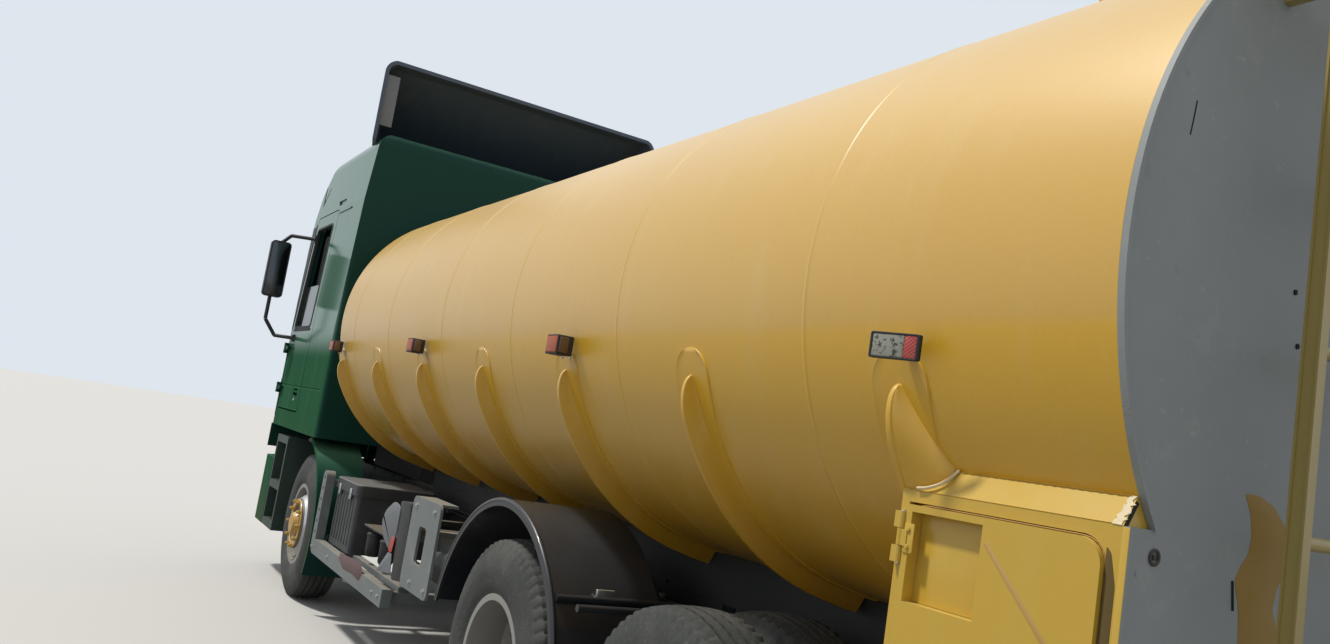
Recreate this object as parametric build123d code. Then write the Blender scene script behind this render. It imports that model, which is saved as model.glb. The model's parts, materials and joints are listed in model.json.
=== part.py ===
from build123d import *
import os
from math import atan2, cos, pi, radians, sin, sqrt

# A three-axle tanker truck: cab over engine, steel tank on a ladder frame.
# All lengths are millimetres. +X is forward, +Y is the left side, +Z is up.
# The origin is on the ground, at the middle of the whole truck.

# Lengths along the truck, from the rear to the front
ladder_reach = 145
tank_length = 6400
cab_gap = 355
cab_length = 1850
bumper_reach = 30
overall_length = ladder_reach + tank_length + cab_gap + cab_length + bumper_reach

# Where the wheels stand
rear_overhang = 1555
tandem_pitch = 1350
front_overhang = 1530

x_rear = -overall_length / 2
x_tank_rear = x_rear + ladder_reach
x_tank_front = x_tank_rear + tank_length
x_cab_rear = x_tank_front + cab_gap
x_cab_front = x_cab_rear + cab_length
x_front = x_cab_front + bumper_reach
x_axle_3 = x_tank_rear + rear_overhang
x_axle_2 = x_axle_3 + tandem_pitch
x_axle_1 = x_cab_front - front_overhang

# Clearances
seat_gap = 0.3
pin_gap = 0.3
door_gap = 9
panel_gap = 6

# Tyres and wheels
tyre_radius = 538
tyre_width = 300
tyre_tread_width = 224
tyre_bulge_rise = 130
tyre_shoulder_drop = 34
rim_radius = 286
rim_wall = 12
rim_lip = 16
rim_width = 252
hub_radius = 92
hub_bore = 46
rear_track_outer = 1213
twin_spacing = 340
front_track_outer = 1184
wheel_studs_radius = 167
nut_ring_width = 26
nut_ring_height = 20
hand_hole_radius = 32
hand_hole_circle = 215
hand_hole_count = 8
disc_thickness = 14

# Ladder frame
rail_outer = 425
rail_width = 75
rail_thickness = 9
rail_top = 980
rail_height = 280
rail_bottom = rail_top - rail_height
cross_height = 150
cross_width = 70
rail_setback = 60
cross_rear = 32
cross_bogie = 480
cross_middle = 620
cross_front = 1900
ear_thickness = 32
ear_offset = 62
ear_reach = 150

# Tank: side arcs and flatter crown arcs that meet in tangency
tank_half_width = 1285
tank_side_radius = 917
tank_crown_radius = 2275
bearer_height = 139
bearer_rear = 40
bearer_front = 120
bearer_tie = 60
tank_edge_radius = 40
side_offset = tank_half_width - tank_side_radius
crown_drop = sqrt((tank_crown_radius - tank_side_radius) ** 2 - side_offset ** 2)
tank_half_height = tank_crown_radius - crown_drop
tank_axis_height = rail_top + bearer_height + tank_half_height
tank_top = tank_axis_height + tank_half_height
tank_bottom = tank_axis_height - tank_half_height

# Ribs that brace the lower half of the tank
rib_count = 7
rib_first = 576
rib_pitch = 952
rib_depth = 60
rib_thickness = 44
rib_top_angle = 22
rib_fade_angle = 4
rib_edge_radius = 11
rib_pad_margin = 90
rib_pad_thickness = 5
rib_end_gap = 10

# Cab
cab_half_width = 1240
cab_floor = 1210
cab_roof = 3600
cab_wall = 60
belt_rise = 830
cab_rear_radius = 55
cab_front_radius = 150
cab_roof_radius = 150
cab_crease = 3
cab_apron_bottom = 1010
cab_apron_depth = 60
tunnel_half_width = 450
tunnel_top = 1560
tunnel_wall = 25
tunnel_front = 270
roof_front_drop = 310
header_drop = 230
cab_belt = cab_floor + belt_rise
roof_front_height = cab_roof - roof_front_drop
header_height = roof_front_height - header_drop
side_lean = 30
roof_lean = 40
header_setback = 70
roof_setback = 130
roof_crown_setback = 470
hinge_setback = 60
hinge_height = 980
hinge_pin_radius = 15
hinge_ear_radius = 24
hinge_side = 330

# Cab doors
door_rear_offset = 820
door_front_setback = 165
door_sill = 80
door_slant = 70
door_corner = 60
door_hinge_low = 180
door_hinge_high = 160
door_strap_length = 110
door_bottom = cab_floor + cab_wall + door_sill
door_top = header_height
door_window_rise = 20
door_window_drop = 110
door_window_bottom = cab_belt + door_window_rise
door_window_top = door_top - door_window_drop
door_window_rear = 130
door_window_front = 70
door_window_corner = 50
glass_thickness = 8
glass_depth = 24
lowered_glass_drop = 520
windscreen_rise = 40
windscreen_drop = 100
windscreen_bottom = cab_belt + windscreen_rise
windscreen_top = header_height - windscreen_drop
windscreen_side = 110
windscreen_corner = 60
crease_height = 350
crease_depth = 5
crease_width = 16
gutter_length = 430
gutter_drop = 36
gutter_width = 12
gutter_depth = 7
vent_rise = 60
vent_height = 42
vent_length = 300
vent_depth = 14
handle_rise = 300
handle_setback = 110
handle_grip = 16
handle_length = 180
handle_height = 62
handle_depth = 22
door_pin_radius = 8
door_barrel_radius = 17
door_barrel_length = 90

# Cab fittings
deflector_height = 590
deflector_length = 1150
deflector_setback = 95
deflector_wall = 30
deflector_inset = 20
deflector_corner = 110
deflector_slope = 1020
deflector_nose = 100
deflector_lip = 30
mirror_reach = 235
mirror_width = 168
mirror_height = 495
mirror_depth = 65
mirror_rise = 488
mirror_corner = 32
mirror_arm_rise = 70
mirror_arm_drop = 330
mirror_foot_setback = 110
mirror_middle = door_window_bottom + mirror_rise
mirror_arm_radius = 16
cab_edge_radius = 110
grille_inset = 330
grille_rise = 20
grille_height = 620
grille_frame = 35
grille_depth = 22
grille_slats = 6
grille_slat_height = 52
seat_side = 790
seat_offset = 660
seat_cushion_height = 120
seat_back_depth = 120
seat_back_lean = 100
seat_cushion_rise = 330
seat_cushion_depth = 510
seat_cushion_width = 470
seat_back_height = 650
wheel_rise = 740
wheel_setback = 560
column_run = 190
column_drop = 360
steering_rim_radius = 225
steering_rim_bar = 16
column_radius = 28
dash_drop = 80
dash_depth = 300
dash_nose = 60

# Rear plate, ladder and hose cabinets
plate_thickness = 8
plate_rim = 8
plate_rim_width = 10
cabinet_length = 596
cabinet_face = 1190
cabinet_height = 795
cabinet_top_drop = 532
cabinet_top = tank_axis_height - cabinet_top_drop
cabinet_bottom = cabinet_top - cabinet_height
cabinet_wall = 20
cabinet_slope_in = 34
cabinet_slope_up = 58
cabinet_door_margin = 26
cabinet_door_corner = 60
cabinet_door_proud = 12
cabinet_knuckle = 38
cabinet_barrel_radius = 9
cabinet_pin_radius = 5
cabinet_strap = 15
cabinet_hinge_from_top = 110
cabinet_hinge_from_bottom = 150
cabinet_pocket_front = 19
cabinet_pocket_drop = 16
cabinet_pocket_length = 215
cabinet_pocket_height = 205
cabinet_pocket_depth = 90
cabinet_pocket_wall = 4
ladder_side = 853
ladder_width = 400
ladder_rail_depth = 36
ladder_rail_width = 28
ladder_rail_wall = 5
ladder_rise = 120
ladder_hoop_inset = 8
ladder_foot_first = 260
ladder_foot_last = 2040
ladder_foot_half = 25
ladder_rungs = 7
ladder_rung_pitch = 380
ladder_rung_first = 116
rung_radius = 14

# Manholes and their spill walls on the tank
manhole_rear = 410
manhole_front = 4600
manhole_radius = 230
manhole_neck = 115
lid_thickness = 35
lid_lap = 18
lid_arm_width = 60
lid_arm_start = 120
lid_hinge_reach = 50
lid_pin_radius = 10
lid_dome_height = 22
coaming_wall = 8
coaming_margin = 135
coaming_height = 75
coaming_half_rear = 500
coaming_half_front = 400

# Pieces under and beside the frame
bumper_top = 935
bumper_bottom = 380
bumper_thickness = 40
bumper_return = 440
step_gap = 125
step_depth = 330
step_wall = 40
lower_step_height = 260
step_tread = 60
step_drop = 70
bumper_half_width = 1230
bumper_corner = 130
bumper_mount_drop = 60
headlamp_side = 700
headlamp_half_length = 190
headlamp_bottom = 520
headlamp_top = 700
headlamp_recess = 12
fog_lamp_radius = 62
fog_lamp_height = 455
engine_length = 1380
engine_offset = 140
engine_sump_rise = 190
engine_sump_inset = 80
engine_sump_rear = 200
engine_sump_front = 100
silencer_length = 440
silencer_gap = 100
silencer_width = 615
silencer_bottom = 480
silencer_height = 480
silencer_corner = 70
silencer_inner = 485
carrier_length = 1850
carrier_side = 1215
carrier_bottom = 450
carrier_top = 1020
carrier_post_depth = 100
carrier_rail_height = 100
carrier_thickness = 60
carrier_arm_width = 60
carrier_wall = 8
carrier_gap = 430
carrier_hole_radius = 14
carrier_hole_pitch = 75
carrier_hole_count = 6
carrier_foot_radius = 80
carrier_bearer_inner = 700
carrier_bearer_outer = 1060
battery_length = 560
battery_width = 510
battery_inner = 640
battery_bottom = 560
battery_height = 430
battery_lid_height = 60
battery_lid_lap = 12
battery_corner = 30
battery_setback = 190
bracket_plate_offset = 312
bracket_plate_length = 450
bracket_plate_top = 1100
bracket_plate_bottom = 630
bracket_plate_thickness = 14
bracket_window_length = 120
bracket_window_height = 190
bracket_gusset = 90
air_tank_radius = 115
air_tank_length = 700
air_tank_height = 720
air_tank_pitch = 260
air_tank_inner = 640
air_tank_end = 40
air_tank_offset = 290
fuel_tank_gap = 60
fuel_tank_offset = 250
strap_inset = 220
fuel_tank_inner = 515
fuel_tank_width = 695
fuel_tank_bottom = 420
fuel_tank_height = 590
fuel_tank_corner = 110
strap_width = 60
strap_thickness = 5
engine_bottom = 570
engine_top = 1490
guard_radius = 692
guard_thickness = 7
guard_inner = 760
guard_inner_rear = 872
guard_outer = 1232
guard_lip_depth = 26
guard_lip_width = 12
guard_start = 12
guard_end = 165
stay_radius = 14
fender_gap = 117
fender_thickness = 10
fender_inner = 870
fender_outer = 1205
fender_flange = 24
fender_start = 100
fender_end = 205
axle_tube_radius = 75
axle_case_radius = 205
axle_case_half = 160
pinion_rise = 60
pinion_radius = 80
pinion_length = 330
shaft_radius = 50
spring_leaves = 5
spring_taper = 0.16
leaf_thickness = 16
leaf_pitch = 15
front_spring_reach = 660
front_spring_camber = 60
bogie_spring_camber = 45
beam_half_width = 55
beam_depth = 110
beam_drop = 110
beam_eye_radius = 56
kingpin_radius = 25
kingpin_inset = 34
lamp_rise = 138
lamp_length = 105
lamp_height = 76
lamp_depth = 56
lamp_reach = 34
lamp_lead = 10
lamp_lens = 5
lamp_bracket = 36
tail_lamp_side = 760
tail_lamp_length = 370
tail_lamp_height = 115
tail_lamp_depth = 70
bar_height = 100
bar_bottom = 480
bar_half_width = 1150
bar_inset = 5
ladder_lift = 5
ladder_bottom = bar_bottom + bar_height + tail_lamp_height + ladder_lift
outlet_radius = 57
outlet_wall = 6
outlet_bend = 150
outlet_drop_place = 330
outlet_inset = 12
outlet_flange_depth = 18
valve_place = 170
valve_length = 160
outlet_height = 690
outlet_flange_radius = 105
outlet_bolt_circle = 160
outlet_bolt_hole = 9
outlet_bolts = 8


def box(x0, x1, y0, y1, z0, z1):
    """A block between two corners."""
    middle = Pos((x0 + x1) / 2, (y0 + y1) / 2, (z0 + z1) / 2)
    return middle * Box(abs(x1 - x0), abs(y1 - y0), abs(z1 - z0))


def rod(start, end, radius):
    """A round bar between two points."""
    line = Line(start, end)
    plane = Plane(origin=start, z_dir=line % 0)
    return extrude(plane * Circle(radius), amount=line.length)


def side_face(points):
    """A face in the XZ plane from (x, z) points."""
    return make_face(Polyline([(x, 0, z) for x, z in points], close=True))


def side_plate(points, y0, y1):
    """An outline of (x, z) points made solid from y0 to y1."""
    face = Pos(0, y0, 0) * side_face(points)
    return extrude(face, amount=abs(y1 - y0), dir=(0, 1 if y1 > y0 else -1, 0))


def cross_plate(points, x0, x1):
    """An outline of (y, z) points made solid from x0 to x1."""
    face = make_face(Polyline([(x0, y, z) for y, z in points], close=True))
    return extrude(face, amount=abs(x1 - x0), dir=(1 if x1 > x0 else -1, 0, 0))


def turned(points, x, z):
    """A profile of (radius, y) points turned about a wheel's axis."""
    face = make_face(Polyline([(r, y, 0) for r, y in points], close=True))
    return Pos(x, 0, z) * revolve(face, axis=Axis.Y)


def ring_y(x, z, y0, y1, outer, inner=0):
    """A disc or ring whose axis runs along Y."""
    span = [(inner, y0), (outer, y0), (outer, y1), (inner, y1)]
    return turned(span, x, z)


def other_side(shape):
    """The same shape on the other side of the truck."""
    return mirror(shape, Plane.XZ)


def both_sides(shape):
    return [shape, other_side(shape)]


def solids_of(shapes):
    """All solids of a shape or a nested list of shapes."""
    if isinstance(shapes, (list, tuple, ShapeList)):
        return [solid for shape in shapes for solid in solids_of(shape)]
    return list(shapes.solids())


def fuse(shapes):
    pieces = solids_of(shapes)
    whole = pieces[0]
    for piece in pieces[1:]:
        whole = whole + piece
    return whole


def save(name, shapes):
    pieces = solids_of(shapes)
    export_step(Compound(children=pieces), "parts/" + name + ".step")


def tank_profile(x, margin=0):
    """The tank's cross-section at x: four arcs in tangency, grown by a margin."""
    turn = atan2(crown_drop, side_offset)
    side = tank_side_radius + margin
    width = tank_half_width + margin
    height = tank_half_height + margin
    knee_y = side_offset + side * cos(turn)
    knee_z = side * sin(turn)
    z = tank_axis_height
    knees = [(knee_y, knee_z), (-knee_y, knee_z), (-knee_y, -knee_z), (knee_y, -knee_z)]
    middles = [(0, height), (-width, 0), (0, -height), (width, 0)]
    arcs = []
    for k in range(4):
        start = knees[k]
        middle = middles[k]
        end = knees[(k + 1) % 4]
        arcs.append(ThreePointArc(*[(x, p[0], z + p[1]) for p in (start, middle, end)]))
    return make_face(Wire(arcs))


def tank_body(x0, x1, margin=0):
    return extrude(tank_profile(x0, margin), amount=x1 - x0, dir=(1, 0, 0))


def under_tank(shape):
    """A shape cut back so that it seats against the tank."""
    return shape - tank_body(x_tank_rear - 200, x_tank_front + 200, seat_gap)


def tank_height_at(y):
    """Height of the tank's crown at a distance y from its middle."""
    return tank_axis_height - crown_drop + sqrt(tank_crown_radius ** 2 - y ** 2)


def manhole_places():
    return [(x_tank_rear + manhole_rear, coaming_half_rear),
            (x_tank_rear + manhole_front, coaming_half_front)]


def tank_shell():
    shell = tank_body(x_tank_rear, x_tank_front)
    front = shell.faces().sort_by(Axis.X)[-1]
    shell = fillet(front.edges(), tank_edge_radius)
    for x, _ in manhole_places():
        neck = Pos(x, 0, tank_top - 60) * Cylinder(
            manhole_radius, 60 + manhole_neck, align=(Align.CENTER, Align.CENTER, Align.MIN))
        shell = shell + neck
    return shell


def coamings():
    """Low spill walls around each manhole, down to the crown of the tank."""
    walls = []
    for x, half_width in manhole_places():
        x0 = x - manhole_radius - coaming_margin
        x1 = x + manhole_radius + coaming_margin
        top = tank_top + coaming_height
        low = tank_height_at(half_width) - 10
        outer = box(x0, x1, -half_width, half_width, low, top)
        inner = box(x0 + coaming_wall, x1 - coaming_wall, coaming_wall - half_width,
                    half_width - coaming_wall, low - 1, top + 1)
        walls.append(under_tank(outer - inner))
    return walls


def manhole_lid(x):
    """A round lid with a raised centre, a rim, a hinge arm and a clamp."""
    base = tank_top + manhole_neck + seat_gap
    up = (Align.CENTER, Align.CENTER, Align.MIN)
    lid = Pos(x, 0, base) * Cylinder(manhole_radius + lid_lap, lid_thickness, align=up)
    lid = lid + Pos(x, 0, base + lid_thickness) * Cone(
        manhole_radius - 40, manhole_radius - 90, lid_dome_height, align=up)
    half = lid_arm_width / 2
    hx = lid_hinge_x(x)
    hz = lid_hinge_z()
    arm = box(x + lid_arm_start, hx, -half, half, base + 10, base + lid_thickness)
    barrel = rod((hx, -half, hz), (hx, half, hz), 2 * lid_pin_radius)
    lid = lid + arm + barrel
    return lid - rod((hx, -half - 10, hz), (hx, half + 10, hz), lid_pin_radius + pin_gap)


def lid_hinge_x(x):
    return x + manhole_radius + lid_hinge_reach


def lid_hinge_z():
    return tank_top + manhole_neck + lid_thickness - 12


def lid_hinges():
    """The fixed pin and its two posts for each manhole lid."""
    hinges = []
    for x, _ in manhole_places():
        hx = lid_hinge_x(x)
        hz = lid_hinge_z()
        half = lid_arm_width / 2 + panel_gap
        post = box(hx - 18, hx + 18, half, half + 12, tank_top - 30, hz + 18)
        pin = rod((hx, -half - 12, hz), (hx, half + 12, hz), lid_pin_radius)
        hinges.append(under_tank(fuse(both_sides(post)) + pin))
    return hinges


def rib_profile(depth):
    """A band along the tank's lower side, from the rib's tip to the frame's bearer."""
    start = radians(-rib_top_angle)
    knee = -atan2(crown_drop, side_offset)
    fade = radians(rib_fade_angle)
    root = -20

    def on_side(rise, angle):
        radius = tank_side_radius + rise
        return (0, side_offset + radius * cos(angle), tank_axis_height + radius * sin(angle))

    def on_crown(rise, y):
        radius = tank_crown_radius + rise
        return (0, y, tank_axis_height + crown_drop - sqrt(radius ** 2 - y ** 2))

    y_end = rail_outer + rib_end_gap
    y_mid_outer = (y_end + on_side(depth, knee)[1]) / 2
    y_mid_root = (y_end + on_side(root, knee)[1]) / 2
    outer_start = start - fade
    edges = [
        Line(on_side(root, start), on_side(depth, outer_start)),
        ThreePointArc(on_side(depth, outer_start), on_side(depth, (outer_start + knee) / 2),
                      on_side(depth, knee)),
        ThreePointArc(on_side(depth, knee), on_crown(depth, y_mid_outer), on_crown(depth, y_end)),
        Line(on_crown(depth, y_end), on_crown(root, y_end)),
        ThreePointArc(on_crown(root, y_end), on_crown(root, y_mid_root), on_side(root, knee)),
        ThreePointArc(on_side(root, knee), on_side(root, (start + knee) / 2), on_side(root, start)),
    ]
    return make_face(Wire(edges))


def rib_tip_height():
    """Height of the rib's tip, where it fades into the tank's side."""
    return tank_axis_height - tank_side_radius * sin(radians(rib_top_angle))


def rib_pad(x):
    """The doubler plate under a rib: a thin layer on the tank with a round upper end."""
    half = rib_thickness / 2 + rib_pad_margin
    shoulder = rib_tip_height() + rib_pad_margin - half
    near = rail_outer + rib_end_gap
    far = tank_half_width + rib_depth
    strip = box(x - half, x + half, near, far, tank_bottom - rib_depth, shoulder)
    strip = strip + rod((x, near, shoulder), (x, far, shoulder), half)
    layer = tank_body(x - 2 * half, x + 2 * half, rib_pad_thickness)
    return (layer & strip) - tank_body(x - 3 * half, x + 3 * half, seat_gap)


def rib_places():
    return [x_tank_rear + rib_first + i * rib_pitch for i in range(rib_count)]


def tank_ribs():
    """Pressed channels with rounded edges, each on a doubler plate, faded in at the tip."""
    ribs = []
    outer_radii = (tank_side_radius + rib_depth, tank_crown_radius + rib_depth)
    for x in rib_places():
        rib = Pos(x - rib_thickness / 2, 0, 0) * extrude(
            rib_profile(rib_depth), amount=rib_thickness, dir=(1, 0, 0))
        arcs = [edge for edge in rib.edges().filter_by(GeomType.CIRCLE)
                if min(abs(edge.radius - radius) for radius in outer_radii) < 1]
        rib = under_tank(fillet(arcs, rib_edge_radius)) + rib_pad(x)
        if x < x_tank_rear + cabinet_length + rib_thickness + rib_pad_margin:
            rib = rib - cross_plate(cabinet_section(-seat_gap), x_tank_rear,
                                    x_tank_rear + cabinet_length + seat_gap)
        rib = max(rib.solids(), key=lambda solid: solid.volume)
        ribs += both_sides(rib)
    return ribs


def frame_rails():
    """Two channel rails joined by channel crossmembers."""
    x0 = x_tank_rear + 30
    x1 = rail_front()
    rail = box(x0, x1, rail_outer - rail_width, rail_outer, rail_bottom, rail_top)
    rail = rail - box(x0 - 1, x1 + 1, rail_outer - rail_width - 1, rail_outer - rail_thickness,
                      rail_bottom + rail_thickness, rail_top - rail_thickness)
    pieces = both_sides(rail)
    reach = rail_outer - rail_thickness
    z1 = rail_top - rail_thickness
    for x in crossmember_places():
        bar = box(x, x + cross_width, -reach, reach, z1 - cross_height, z1)
        bar = bar - box(x + rail_thickness, x + cross_width + 1, -reach, reach,
                        z1 - cross_height + rail_thickness, z1 - rail_thickness)
        pieces.append(bar)
    pin_x = cab_hinge_x()
    half = ear_thickness / 2
    for y in (hinge_side + ear_offset, -hinge_side - ear_offset):
        low = hinge_height - hinge_ear_radius
        high = hinge_height + hinge_ear_radius
        ear = side_plate([(x1 - ear_reach, rail_top), (x1 - 20, rail_bottom + 100), (pin_x, low),
                          (pin_x, high)], y - half, y + half)
        pieces.append(ear)
        pieces.append(ring_y(pin_x, hinge_height, y - half, y + half, hinge_ear_radius))
        pieces.append(box(x1 - ear_reach, x1, y - half, y + half, rail_bottom + 60, rail_top))
    pin_half = hinge_side + ear_offset + half / 2
    pieces.append(rod((pin_x, -pin_half, hinge_height), (pin_x, pin_half, hinge_height), hinge_pin_radius))
    return fuse(pieces)


def rail_front():
    """Where the frame rails end, behind the bumper."""
    return x_cab_front - hinge_setback - rail_setback


def cab_hinge_x():
    return x_cab_front - hinge_setback


def crossmember_places():
    return [x_tank_rear + cross_rear, x_axle_3 - cross_bogie,
            x_axle_3 + tandem_pitch / 2 - cross_width / 2, x_axle_2 + cross_middle,
            x_axle_2 + cross_front, x_cab_rear - rail_setback, rail_front() - cross_width - 10]


def subframe():
    """The yellow bearers between the tank and the frame rails."""
    low = rail_top + seat_gap
    bearer = box(x_tank_rear + bearer_rear, x_tank_front - bearer_front, rail_outer - rail_width, rail_outer,
                 low, tank_height_below(rail_outer) + 60)
    pieces = both_sides(under_tank(bearer))
    for x in rib_places():
        half = bearer_tie / 2
        tie = box(x - half, x + half, -rail_outer, rail_outer, low, tank_bottom + bearer_height)
        pieces.append(under_tank(tie))
    return fuse(pieces)


def tank_height_below(y):
    """Height of the tank's underside at a distance y from its middle."""
    return tank_axis_height + crown_drop - sqrt(tank_crown_radius ** 2 - y ** 2)


def rear_plate():
    """A flat plate with a raised rim that closes the rear, down beside the cabinets."""
    x0 = x_tank_rear - plate_thickness
    x1 = x_tank_rear
    low = cabinet_bottom

    def outline(start, end, inset):
        upper = extrude(tank_profile(start, -inset), amount=end - start, dir=(1, 0, 0))
        lower = box(start, end, inset - cabinet_face, cabinet_face - inset, low + inset, cabinet_top)
        return upper + lower

    plate = outline(x0, x1 - seat_gap, 0)
    rim = outline(x0 - plate_rim, x0, 0) - outline(x0 - plate_rim - 1, x0, plate_rim_width)
    return plate + rim


def ladder():
    """Two channel stringers with rungs, standing off the plate and hooked over the tank."""
    pieces = []
    x0 = x_rear
    x1 = x0 + ladder_rail_depth
    face = x_tank_rear - plate_thickness - seat_gap
    top = tank_top + ladder_rise
    hook = x_tank_rear + ladder_hoop_inset
    outer = ladder_side
    inner = ladder_side - ladder_width
    for y in (outer, inner):
        y0 = y - ladder_rail_width
        pieces.append(box(x0, x1, y0, y, ladder_bottom, top))
        pieces.append(box(x0, hook + ladder_rail_width, y0, y, top - ladder_rail_depth, top))
        pieces.append(under_tank(box(hook, hook + ladder_rail_width, y0, y, tank_height_at(y) - 20, top)))
        for rise in (ladder_foot_first, ladder_foot_last):
            z = ladder_bottom + rise
            pieces.append(box(x1 - 1, face, y0, y, z - ladder_foot_half, z + ladder_foot_half))
    middle = (x0 + x1) / 2
    for i in range(ladder_rungs):
        z = ladder_bottom + ladder_rung_first + i * ladder_rung_pitch
        pieces.append(rod((middle, inner - 2, z), (middle, outer - ladder_rail_width + 2, z), rung_radius))
    frame = fuse(pieces)
    wall = ladder_rail_wall
    low = ladder_bottom - 1
    high = top - ladder_rail_depth
    frame = frame - box(x0 + wall, x1 - wall, outer - wall, outer + 1, low, high)
    return frame - box(x0 + wall, x1 - wall, inner - ladder_rail_width - 1, inner - ladder_rail_width + wall,
                       low, high)


def cabinet_section(inset):
    """The cabinet's outline across the truck, with its sloped top edge."""
    y0 = rail_outer + seat_gap + inset
    y1 = cabinet_face - inset
    z0 = cabinet_bottom + inset
    z1 = cabinet_top - inset
    return [(y0, z0), (y1, z0), (y1, z1), (y1 - cabinet_slope_in, z1 + cabinet_slope_up),
            (y0, z1 + cabinet_slope_up)]


def cabinet_door_prism(gap, y0, y1):
    """The hose cabinet's doorway outline, its upper rear corner rounded."""
    margin = cabinet_door_margin + gap
    x0 = x_tank_rear + margin
    x1 = x_tank_rear + cabinet_length - margin
    z0 = cabinet_bottom + margin
    z1 = cabinet_top - margin
    face = side_face([(x0, z0), (x1, z0), (x1, z1), (x0, z1)])
    corner = face.vertices().sort_by(Axis.Z)[-2:].sort_by(Axis.X)[:1]
    face = fillet(corner, cabinet_door_corner - gap)
    return extrude(Pos(0, y0, 0) * face, amount=y1 - y0, dir=(0, 1, 0))


def cabinet():
    """A hose cabinet under the tank's left rear, open where its door is."""
    x0 = x_tank_rear + seat_gap
    x1 = x_tank_rear + cabinet_length
    shell = cross_plate(cabinet_section(0), x0, x1)
    hollow = cross_plate(cabinet_section(cabinet_wall), x0 + cabinet_wall, x1 - cabinet_wall)
    doorway = cabinet_door_prism(0, cabinet_face - cabinet_wall - 5, cabinet_face + 5)
    shell = under_tank(shell - hollow - doorway)
    shell = max(shell.solids(), key=lambda solid: solid.volume)
    hx, hy = cabinet_hinge()
    half = cabinet_knuckle / 2
    for z in cabinet_hinge_heights():
        for side in (-1, 1):
            z0 = z + side * (cabinet_knuckle + 2)
            shell = shell + rod((hx, hy, z0 - half), (hx, hy, z0 + half), cabinet_barrel_radius)
            shell = shell + box(hx, x1 - 2, cabinet_face - cabinet_wall / 2, hy + 6, z0 - half, z0 + half)
        shell = shell + rod((hx, hy, z - cabinet_knuckle), (hx, hy, z + cabinet_knuckle), cabinet_pin_radius)
    return shell


def cabinet_hinge():
    x = x_tank_rear + cabinet_length - cabinet_door_margin + 4
    return x, cabinet_face + cabinet_door_proud


def cabinet_hinge_heights():
    return [cabinet_bottom + cabinet_hinge_from_bottom, cabinet_top - cabinet_hinge_from_top]


def cabinet_door():
    """The cabinet's door, a little proud of its face, with a deep hand pocket."""
    front = cabinet_face + cabinet_door_proud
    leaf = cabinet_door_prism(panel_gap, cabinet_face - cabinet_wall, front)
    edge = x_tank_rear + cabinet_length - cabinet_door_margin - panel_gap
    x1 = edge - cabinet_pocket_front
    x0 = x1 - cabinet_pocket_length
    z1 = cabinet_top - cabinet_door_margin - panel_gap - cabinet_pocket_drop
    z0 = z1 - cabinet_pocket_height
    back = front - cabinet_pocket_depth
    wall = cabinet_pocket_wall
    leaf = leaf + box(x0 - wall, x1 + wall, back - wall, front - 1, z0 - wall, z1 + wall)
    leaf = leaf - box(x0, x1, back, front + 1, z0, z1)
    hx, hy = cabinet_hinge()
    half = cabinet_knuckle / 2
    for z in cabinet_hinge_heights():
        strap = box(edge - cabinet_strap, hx, front - 3, hy + 6, z - half, z + half)
        barrel = rod((hx, hy, z - half), (hx, hy, z + half), cabinet_barrel_radius)
        leaf = leaf + strap + barrel
        leaf = leaf - rod((hx, hy, z - cabinet_knuckle), (hx, hy, z + cabinet_knuckle),
                          cabinet_pin_radius + pin_gap)
    return leaf


def outlet_pipe():
    """The discharge pipe from the tank's sump to the flange at the rear."""
    x_down = x_tank_rear + outlet_drop_place
    x_end = x_rear + outlet_inset
    bend = outlet_bend
    z = outlet_height
    path = Wire([Line((x_down, 0, tank_bottom - seat_gap), (x_down, 0, z + bend)),
                 ThreePointArc((x_down, 0, z + bend),
                               (x_down - bend + bend * cos(pi / 4), 0, z + bend - bend * sin(pi / 4)),
                               (x_down - bend, 0, z)),
                 Line((x_down - bend, 0, z), (x_end, 0, z))])
    start = Plane(origin=(x_down, 0, tank_bottom - seat_gap), z_dir=(0, 0, -1))
    outer = sweep(start * Circle(outlet_radius), path=path)
    inner = sweep(start * Circle(outlet_radius - outlet_wall), path=path)
    thick = outlet_flange_depth
    valve = x_end + valve_place
    flange = rod((x_end, 0, z), (x_end + thick, 0, z), outlet_flange_radius)
    body = rod((valve, 0, z), (valve + valve_length, 0, z), outlet_radius + 34)
    pipe = outer + flange + body - inner
    for k in range(outlet_bolts):
        angle = 2 * pi * (k + 0.5) / outlet_bolts
        y = outlet_bolt_circle / 2 * cos(angle)
        dz = outlet_bolt_circle / 2 * sin(angle)
        pipe = pipe - rod((x_end - 1, y, z + dz), (x_end + thick + 1, y, z + dz), outlet_bolt_hole)
    return pipe


def tyre(x, y_middle):
    half = tyre_width / 2
    tread = tyre_tread_width / 2
    bead = rim_width / 2
    outline = [(rim_radius + seat_gap, bead - 10), (rim_radius + tyre_bulge_rise, half),
               (tyre_radius - tyre_shoulder_drop, half - 4),
               (tyre_radius, tread), (tyre_radius, -tread),
               (tyre_radius - tyre_shoulder_drop, 4 - half), (rim_radius + tyre_bulge_rise, -half),
               (rim_radius + seat_gap, 10 - bead)]
    return Pos(0, y_middle, 0) * turned(outline, x, tyre_radius)


def rim_barrel(x, y_middle):
    half = rim_width / 2
    outline = [(rim_radius - rim_wall, -half - 8), (rim_radius + rim_lip, -half - 8),
               (rim_radius + rim_lip, 1 - half), (rim_radius, 1 - half), (rim_radius, half - 1),
               (rim_radius + rim_lip, half - 1), (rim_radius + rim_lip, half + 8),
               (rim_radius - rim_wall, half + 8)]
    return Pos(0, y_middle, 0) * turned(outline, x, tyre_radius)


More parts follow.
